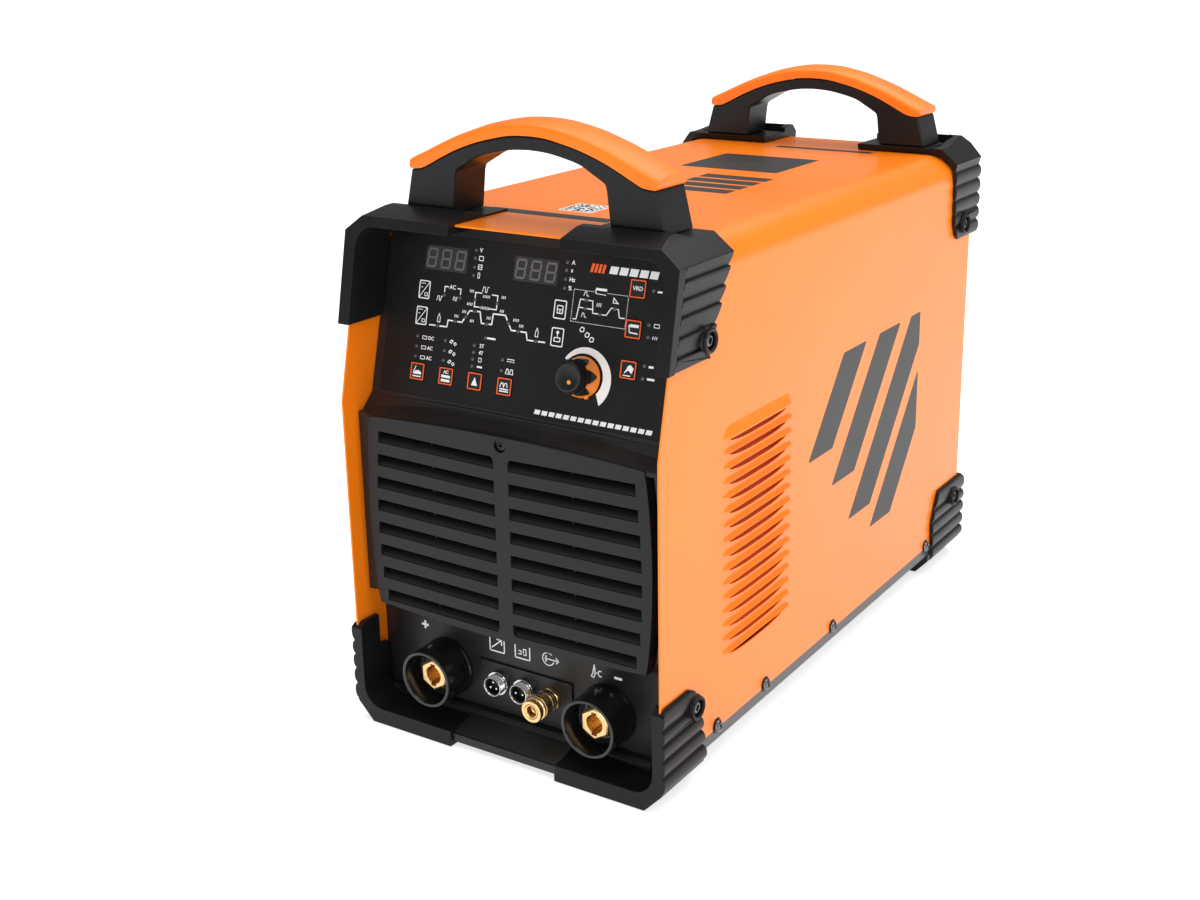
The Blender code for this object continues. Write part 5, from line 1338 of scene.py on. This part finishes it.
knurl = {knurl_from, knurl_from + 1}
prof += [(8.8, 15.0), (8.4, 15.9), (8.1, 16.5), (7.6, 16.7), (7.6, 9.0), (5.75, 9.0), (5.75, 0.9)]
sleeve = turned(prof, coupling, BACKWARD, 96, ripple=lambda a, i: -0.28 * (0.5 + 0.5 * math.cos(32 * a)) if i in knurl else 0.0)
piece("coupling_collar_sleeve", sleeve, BRASS, body="coupling_collar", replaces="gas_coupling_sleeve", angle=26)

# ============================================================================================
# handles
# ============================================================================================
GRIP_LOW = [(0, 421.5), (16, 420.6), (30.6, 417.7), (42, 414.9), (52.7, 411.5), (64, 407.2), (75.5, 401.9), (87.2, 396.0), (94, 393.2), (102.6, 392.3)]
GRIP_HIGH = [(0, 427.4), (16, 426.6), (31, 423.9), (42, 421.3), (53, 417.7), (64, 413.9), (75.5, 409.2), (87.2, 404.0), (95, 400.4), (104.4, 396.4)]
INNER = [(0, 411.7), (13, 411), (26, 408.9), (42, 404.8), (51.6, 399.7), (59.6, 395.2), (62.6, 393.0), (63.8, 389.6), (66.5, 366.4)]


def mirrored(points):
    return [(-x, z) for x, z in points[:0:-1]] + list(points)


for place, y0 in (("front", 52.5), ("rear", 491.0)):
    foot = 362.1 if place == "front" else 366.3
    low = mirrored(smooth_line([(x, z - 0.3) for x, z in GRIP_LOW], 3))
    half_in = smooth_line(INNER[:-1], 3) + [(66.4 + (366.4 - foot) * 0.11, foot)]
    inner = mirrored(half_in)
    frame_pts = [(-109.6, foot)] + low + [(109.6, foot)] + inner[::-1]
    bm = prism_y(frame_pts, y0 + 0.6, y0 + 37.4)
    if place == "front":
        bm = cut(bm, prism_x([(40, 350), (40, 366.8), (50, 366.8), (63, 362.12), (63, 350)], -120, 120))
    piece(f"handle_frame_{place}_visual", bm, HANDLE, replaces=f"handle_frame_{place}", bevel=1.3, seg=3, angle=25, limit=42)
    # saddle grip: crowned on top, rounded shoulders, ends curved down to a blunt tip
    crown = [(0.0, -0.9), (0.25, 0.5), (1.1, 1.5), (2.6, 2.35), (5.0, 3.05), (9.0, 3.9), (14.0, 4.45), (19.0, 4.6), (24.0, 4.45), (29.0, 3.9), (33.0, 3.05), (35.4, 2.35), (36.9, 1.5), (37.75, 0.5), (38.0, -0.9)]
    under = smooth_line(mirrored(GRIP_LOW), 3)
    over = smooth_line(mirrored(GRIP_HIGH), 3)
    rows = []
    for dy, lift in crown:
        pull = 1.0 if 1.0 < dy < 37.0 else 0.994
        o = [(x * pull, z + lift) for x, z in over]
        tip_r = [(103.9 * pull, 392.9), (104.7 * pull, 394.4)]
        u = [(x * pull, z) for x, z in under]
        loop = u + tip_r + o[::-1] + [(-x, z) for x, z in tip_r[::-1]]
        rows.append([at(x, y0 + dy, z) for x, z in loop])
    bm = bmesh.new()
    made = [[bm.verts.new(p) for p in row] for row in rows]
    for a, b in zip(made, made[1:]):
        for i in range(len(a)):
            k = (i + 1) % len(a)
            bm.faces.new((a[i], a[k], b[k], b[i]))
    for row in (made[0], made[-1]):
        bm.faces.new(row)
    piece(f"handle_grip_{place}_visual", bm, GRIP, replaces=f"handle_grip_{place}", angle=50)

# ============================================================================================
# bolts and cover screws
# ============================================================================================
for place, (y, z) in BOLTS.items():
    for hand, side in (("left", -1), ("right", 1)):
        c, out = at(side * 135, y, z), Vector((side, 0, 0))
        bm = turned(
            [(0, -7.2), (2.6, -7.2), (2.6, -5.2), (4.2, -5.2), (4.2, -0.9), (2.6, -0.9), (2.6, 3.3), (5.0, 3.3), (5.05, 3.9), (4.8, 5.0), (4.2, 5.85), (3.3, 6.35), (0, 6.5)],
            c, out, 40,
        )
        bm = cut(bm, turned([(0, 3.9), (2.55, 3.9), (2.55, 6.0), (2.9, 6.6), (2.9, 9), (0, 9)], c, out, 6))
        piece(f"bolt_{place}_{hand}_visual", bm, BOLT, replaces=f"bolt_{place}_{hand}", bevel=0.12, seg=1, angle=32)

for hand, side in (("left", -1), ("right", 1)):
    x0, x1 = sorted((side * 128.2, side * 132.2))
    rail = block(x0, x1, 66, 482, -4, 9)
    out = Vector((side, 0, 0))
    heads, washers, slots_bm = bmesh.new(), bmesh.new(), [bmesh.new(), bmesh.new()]
    for y in SCREW_Y:
        c = at(side * 135, y, SCREW_Z)
        add_turned(heads, [(0, -3.5), (2.2, -3.5), (2.2, 1.5), (4.7, 1.5), (4.8, 2.1), (4.4, 3.2), (3.5, 4.2), (2.4, 4.7), (0, 4.85)], c, out, 36)
        add_turned(washers, [(2.4, 0.2), (5.9, 0.2), (6.1, 0.45), (6.1, 1.0), (5.8, 1.35), (2.4, 1.45), (2.4, 0.2)], c, out, 36)
        for k in range(2):
            turn = Matrix.Rotation(math.radians(38 + 90 * k), 4, "X")
            pts = [(0, -2.6, -0.55), (0, 2.6, -0.55), (0, 2.6, 0.55), (0, -2.6, 0.55)]
            centre = c + out * 3.4 * MM
            add_prism(slots_bm[k], [centre + (turn @ Vector(q)) * MM for q in pts], out * 4 * MM)
    piece(f"cover_screws_{hand}_visual", cut(heads, *slots_bm), BOLT, replaces=f"cover_screws_{hand}", bevel=0.15, seg=1, angle=35)
    piece(f"cover_washers_{hand}", washers, CAP, angle=40)
    piece(f"cover_rail_{hand}", rail, ZINC, bevel=0.4, seg=1)

# dark red panels behind the louvres: painted shade for the shaded inside seen through the louvre gaps
for hand, side in (("left", -1), ("right", 1)):
    x0, x1 = sorted((side * 128.0, side * 130.0))
    piece(f"louvre_shade_panel_{hand}", block(x0, x1, 80, 196, 48, 228), RED_SHADE, bevel=0.3, seg=1)

# ============================================================================================
# back: panel, fan guard, breaker, gland, gas inlet
# ============================================================================================
BREAKER_X, BREAKER_Z = 62.0, 285.0
GLAND_X, GLAND_Z = -66.0, 262.0
INLET_X, INLET_Z = -8.0, 262.0
hull = cover_outline(2.0, -8.7)
bm = prism_y(hull, REAR_Y, REAR_Y + 1.5)
tools = bmesh.new()
add_turned(tools, [(64, -5), (64, 5)], at(0, REAR_Y, FAN_Z), BACKWARD, 72)
block(BREAKER_X - 26.8, BREAKER_X + 26.8, REAR_Y - 5, REAR_Y + 5, BREAKER_Z - 22.8, BREAKER_Z + 22.8, tools)
add_turned(tools, [(10.3, -5), (10.3, 5)], at(GLAND_X, REAR_Y, GLAND_Z), BACKWARD, 40)
add_turned(tools, [(6.6, -5), (6.6, 5)], at(INLET_X, REAR_Y, INLET_Z), BACKWARD, 32)
vents = bmesh.new()
for side in (-1, 1):
    for k in range(7):
        z = 72 + 15 * k
        prism_y(fillet([(side * 84, z), (side * 112, z), (side * 112, z + 5), (side * 84, z + 5)], 2.4, 4), REAR_Y - 5, REAR_Y + 5, vents)
bm = cut(bm, tools, vents)
piece("rear_panel_visual", bm, GREY_SHEET, replaces="rear_panel", bevel=0.3, seg=1, angle=30)

G0 = REAR_Y + 1.8


def wire(path, radius, closed=True, segs=10):
    """A round wire swept along points that lie in a plane across Y."""
    bm = bmesh.new()
    rows = []
    count = len(path)
    for i, p in enumerate(path):
        p = Vector(p)
        a = Vector(path[i - 1]) if closed or i else p
        b = Vector(path[(i + 1) % count]) if closed or i < count - 1 else p
        t = (b - a).normalized()
        side = t.cross(BACKWARD).normalized()
        rows.append([p + (side * math.cos(2 * math.pi * k / segs) + BACKWARD * math.sin(2 * math.pi * k / segs)) * radius * MM for k in range(segs)])
    if closed:
        rows.append(rows[0])
    return loft(rows, caps=not closed, bm=bm)


guard = bmesh.new()


def merge(into, bm):
    mesh = bpy.data.meshes.new("m")
    bm.to_mesh(mesh)
    bm.free()
    into.from_mesh(mesh)
    bpy.data.meshes.remove(mesh)


for r in (14, 22, 30, 38, 46, 54, 62):
    merge(guard, wire([at(r * math.cos(math.radians(6 * k)), G0 + 3.1, FAN_Z + r * math.sin(math.radians(6 * k))) for k in range(60)], 1.1))
for k in range(4):
    a = math.radians(45 + 90 * k)
    pts = []
    for r in (8, 20, 40, 60, 70, 78, 84):
        dy = 1.3 if r < 66 else (1.3 - (r - 66) * 0.02)
        pts.append(at(r * math.cos(a), G0 + dy, FAN_Z + r * math.sin(a)))
    merge(guard, wire(pts, 1.2, closed=False))
    add_turned(guard, [(2.4, 0.05), (4.6, 0.05), (4.6, 2.4), (2.4, 2.4), (2.4, 0.05)], at(84 * math.cos(a), G0 + 0.1, FAN_Z + 84 * math.sin(a)), BACKWARD, 24)
piece("fan_guard_visual", guard, ZINC, replaces="fan_guard", angle=50)
bm = bmesh.new()
for k in range(4):
    a = math.radians(45 + 90 * k)
    add_turned(bm, [(0, 0), (2.2, 0), (2.2, 2.5), (4.0, 2.5), (4.0, 3.2), (3.2, 4.2), (1.6, 4.7), (0, 4.75)], at(84 * math.cos(a), G0 + 0.1, FAN_Z + 84 * math.sin(a)), BACKWARD, 28)
for x, z in ((-112, 340), (112, 340), (-122, 200), (122, 200), (-116, 20), (116, 20)):
    add_turned(bm, [(0, -2), (2.2, -2), (2.2, 0), (4.4, 0), (4.4, 0.7), (3.6, 1.8), (1.8, 2.4), (0, 2.5)], at(x, REAR_Y + 1.5, z), BACKWARD, 28)
piece("rear_screws", bm, ZINC, angle=45)

bm = block(BREAKER_X - 26.5, BREAKER_X + 26.5, REAR_Y - 52, REAR_Y + 8, BREAKER_Z - 22.5, BREAKER_Z + 22.5)
bm = join(bm, prism_y(fillet([(BREAKER_X - 31, BREAKER_Z - 29), (BREAKER_X + 31, BREAKER_Z - 29), (BREAKER_X + 31, BREAKER_Z + 29), (BREAKER_X - 31, BREAKER_Z + 29)], 2.5, 4), REAR_Y + 1.8, REAR_Y + 4.6))
hinge = at(BREAKER_X, REAR_Y + 3.0, BREAKER_Z)
bm = cut(bm, block(BREAKER_X - 14.3, BREAKER_X + 14.3, REAR_Y - 8.5, REAR_Y + 12, BREAKER_Z - 11.3, BREAKER_Z + 11.3), turned([(2.4, -18), (2.4, 18)], hinge, RIGHT, 32))
bm = cut(bm, block(BREAKER_X - 0.3, BREAKER_X + 0.3, REAR_Y + 7.2, REAR_Y + 9, BREAKER_Z - 23, BREAKER_Z + 23))
piece("mains_breaker_visual", bm, BAY, replaces="mains_breaker", bevel=0.6, seg=2, angle=30)
bm = turned([(0, -14), (9.8, -14), (9.8, 14), (0, 14)], hinge, RIGHT, 48)
lever = bmesh.new()
tilt = Matrix.Rotation(math.radians(-28), 4, "X")
corners = [(-12, 5, -2.6), (12, 5, -2.6), (12, 5, 2.6), (-12, 5, 2.6)]
add_prism(lever, [hinge + (tilt @ Vector(q)) * MM for q in corners], (tilt @ Vector((0, 13, 0))) * MM)
bm = join(bm, lever, turned([(0, -17.5), (2.0, -17.5), (2.0, 17.5), (0, 17.5)], hinge, RIGHT, 24))
piece("breaker_toggle_visual", bm, GLOSS, body="mains_lever", replaces="breaker_toggle", bevel=0.7, seg=3, angle=30)
bm = bmesh.new()
prism_y([(BREAKER_X - 1.2, BREAKER_Z + 14.4), (BREAKER_X + 1.2, BREAKER_Z + 14.4), (BREAKER_X + 1.2, BREAKER_Z + 19), (BREAKER_X - 1.2, BREAKER_Z + 19)], REAR_Y + 7.9, REAR_Y + 8.12, bm)
n = 24
for k in range(n):
    a0, a1 = 2 * math.pi * k / n, 2 * math.pi * (k + 1) / n
    p = lambda r, a: (BREAKER_X + r * math.cos(a), BREAKER_Z - 17 + r * math.sin(a))
    prism_y([p(1.6, a0), p(2.5, a0), p(2.5, a1), p(1.6, a1)], REAR_Y + 7.9, REAR_Y + 8.12, bm)
piece("breaker_marks", bm, WHITE, angle=60)

c = at(GLAND_X, REAR_Y, GLAND_Z)
nut_prof = [(13.2, 8.9), (14.4, 9.4), (14.4, 19.4), (12.6, 23.4), (9.2, 26.6), (8.0, 27.0), (6.2, 27.0), (6.2, 8.9), (13.2, 8.9)]
dome = turned(nut_prof, c, BACKWARD, 96, ripple=lambda a, i: -0.5 * (0.5 + 0.5 * math.cos(18 * a)) if i in (1, 2) else 0.0)
piece("gland_nut", dome, HANDLE, angle=30)
base = turned([(6.2, -16), (9.9, -16), (9.9, 1.9), (6.2, 1.9), (6.2, -16)], c, BACKWARD, 48)
piece("gland_thread", base, HANDLE, replaces="cable_gland", angle=30)
hexa = turned([(0, 1.9), (15.0, 1.9), (15.5, 2.4), (15.5, 8.2), (15.0, 8.7), (0, 8.7)], c, BACKWARD, 6)
piece("gland_hex", cut(hexa, turned([(6.2, 0), (6.2, 12)], c, BACKWARD, 40)), HANDLE, bevel=0.5, seg=2, angle=30)
hexb = turned([(0, -7), (13.5, -7), (13.5, -0.4), (0, -0.4)], c, BACKWARD, 6)
piece("gland_lock_nut", cut(hexb, turned([(9.95, -9), (9.95, 2)], c, BACKWARD, 40)), HANDLE, bevel=0.4, seg=1, angle=30)
c = at(INLET_X, REAR_Y, INLET_Z)
hexa = turned([(0, 1.9), (9.4, 1.9), (9.8, 2.3), (9.8, 8.2), (9.4, 8.6), (0, 8.6)], c, BACKWARD, 6)
piece("inlet_hex", cut(hexa, turned([(3.0, 0), (3.0, 12)], c, BACKWARD, 32)), BRASS, bevel=0.35, seg=2, angle=30)
barb = turned([(1.6, 6.0), (6.0, 6.0), (6.0, 17.4), (5.6, 18.0), (3.4, 19), (4.6, 24), (4.6, 24.6), (3.4, 24.9), (4.6, 30), (4.6, 30.6), (3.4, 30.9), (4.5, 36), (4.2, 37.4), (3.0, 38), (1.6, 38), (1.6, 6.0)], c, BACKWARD, 48)
piece("inlet_barb", barb, BRASS, replaces="gas_inlet", angle=30)
rear_nut = turned([(0, -10), (9.5, -10), (9.5, -4), (0, -4)], c, BACKWARD, 6)
piece("inlet_lock_nut", cut(rear_nut, turned([(6.2, -12), (6.2, 0)], c, BACKWARD, 32)), BRASS, bevel=0.3, seg=1, angle=30)
piece("inlet_thread", turned([(1.6, -14), (6.1, -14), (6.1, 1.9), (1.6, 1.9), (1.6, -14)], c, BACKWARD, 40), BRASS, angle=30)

# earth stud and rating plate on the back
c = at(24, REAR_Y + 1.5, 226)
piece("earth_stud", turned([(0, 0), (7.0, 0), (7.0, 1.4), (4.0, 1.5), (4.0, 12.6), (3.4, 13.6), (0, 13.8)], c, BACKWARD, 36), ZINC, angle=32)
nut = turned([(0, 1.5), (6.4, 1.5), (6.8, 1.9), (6.8, 6.6), (6.4, 7.0), (0, 7.0)], c, BACKWARD, 6)
piece("earth_nut", cut(nut, turned([(4.0, 0), (4.0, 9)], c, BACKWARD, 32)), BRASS, bevel=0.3, seg=1, angle=30)
bm = prism_y(fillet([(-100, 285), (-24, 285), (-24, 325), (-100, 325)], 2.0, 4), REAR_Y + 1.45, REAR_Y + 1.75)
piece("rear_plate", bm, ALU, bevel=0.1, seg=1)
bm = bmesh.new()
for k in range(6):
    prism_y([(-95, 290.0 + 5.6 * k), (-95 + (66 if k % 2 else 52), 290.0 + 5.6 * k), (-95 + (66 if k % 2 else 52), 291.0 + 5.6 * k), (-95, 291.0 + 5.6 * k)], REAR_Y + 1.7, REAR_Y + 1.85, bm)
piece("rear_plate_lines", bm, LABEL, angle=60)

# ============================================================================================
# CAD nodes that stay, with their detailed materials
# ============================================================================================
keep = {
    "base_tray": GREY_SHEET, "control_board": BOARD, "encoder_shaft": ZINC, "display_window_left": SMOKE, "display_window_right": SMOKE,
    "fan_frame": HANDLE, "fan_rotor": GLOSS, "inverter_module": ALU, "main_transformer": COPPER, "gas_valve": BRASS,
}
for node, mat in keep.items():
    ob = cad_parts[node]
    if not ob.material_slots:
        ob.data.materials.append(mat)
    for sl in ob.material_slots:
        sl.material = mat


# ============================================================================================
# floor, light and camera
# ============================================================================================
floor_mat = Nodes("studio_floor")
floor_cloud = floor_mat.noise(1.5, 2.0)
floor_mat.to(floor_mat.ramp(floor_cloud, (0.3, (0.86, 0.86, 0.86)), (0.7, (0.90, 0.90, 0.90))), "Base Color")
floor_mat.to(floor_mat.span(floor_cloud, 0.7, 0.8), "Roughness")
far = floor_mat.new("ShaderNodeVectorMath", operation="LENGTH")
floor_mat.link(floor_mat.coord.outputs["Object"], far.inputs[0])
floor_mat.to(floor_mat.span(far.outputs["Value"], 0.60, 1.0, 0.5, 2.6), "Emission Strength")
floor_mat.set(Emission_Color=(1, 1, 1, 1), Specular_IOR_Level=0.1)
bm = bmesh.new()
bmesh.ops.create_grid(bm, x_segments=2, y_segments=2, size=30.0)
floor_mesh = bpy.data.meshes.new("studio_floor")
bm.to_mesh(floor_mesh)
bm.free()
floor_mesh.materials.append(floor_mat.mat)
floor = bpy.data.objects.new("studio_floor", floor_mesh)
floor.location = (0, 0, -0.0005)
scene.collection.objects.link(floor)


def softbox(name, loc, aim, size_x, size_y, watts, colour=(1, 1, 1)):
    light = bpy.data.lights.new(name, "AREA")
    light.shape, light.size, light.size_y, light.energy, light.color = "RECTANGLE", size_x, size_y, watts, colour
    ob = bpy.data.objects.new(name, light)
    ob.location = loc
    ob.rotation_euler = (Vector(aim) - Vector(loc)).to_track_quat("-Z", "Y").to_euler()
    scene.collection.objects.link(ob)
    return ob


softbox("overhead", (0.15, 0.25, 1.75), (0, 0.0, 0.3), 1.9, 2.2, 33)
softbox("right_key", (2.0, -0.5, 1.1), (0, 0, 0.2), 1.6, 1.6, 11)
softbox("front_fill", (0.75, -2.3, 1.0), (0, -0.1, 0.2), 1.4, 1.2, 17)

world = bpy.data.worlds.new("studio")
world.use_nodes = True
scene.world = world
wt = world.node_tree
bg = wt.nodes["Background"]
path = wt.nodes.new("ShaderNodeLightPath")
mixer = wt.nodes.new("ShaderNodeMix")
mixer.data_type = "FLOAT"
mixer.inputs[2].default_value = 0.32
mixer.inputs[3].default_value = 1.05
wt.links.new(path.outputs["Is Camera Ray"], mixer.inputs["Factor"])
wt.links.new(mixer.outputs[0], bg.inputs["Strength"])
bg.inputs["Color"].default_value = (1, 1, 1, 1)

yaw, pitch, roll = 0.5668, 0.2976, -0.011714
fwd = Vector((-math.sin(yaw) * math.cos(pitch), math.cos(yaw) * math.cos(pitch), -math.sin(pitch)))
right = fwd.cross(Vector((0, 0, 1))).normalized()
up = right.cross(fwd)
cr, sr = math.cos(roll), math.sin(roll)
r2, u2 = right * cr + up * sr, up * cr - right * sr
cam = bpy.data.cameras.new("camera")
cam.sensor_width, cam.lens = 36.0, 47.025
cam.shift_x, cam.shift_y = -0.02727, -0.04398
cam.clip_start, cam.clip_end = 0.05, 60.0
cam_ob = bpy.data.objects.new("camera", cam)
cam_ob.matrix_world = Matrix.Translation((0.631754, -1.086349, 0.592811)) @ Matrix((r2, u2, -fwd)).transposed().to_4x4()
scene.collection.objects.link(cam_ob)
scene.camera = cam_ob
scene.view_settings.view_transform = "Standard"
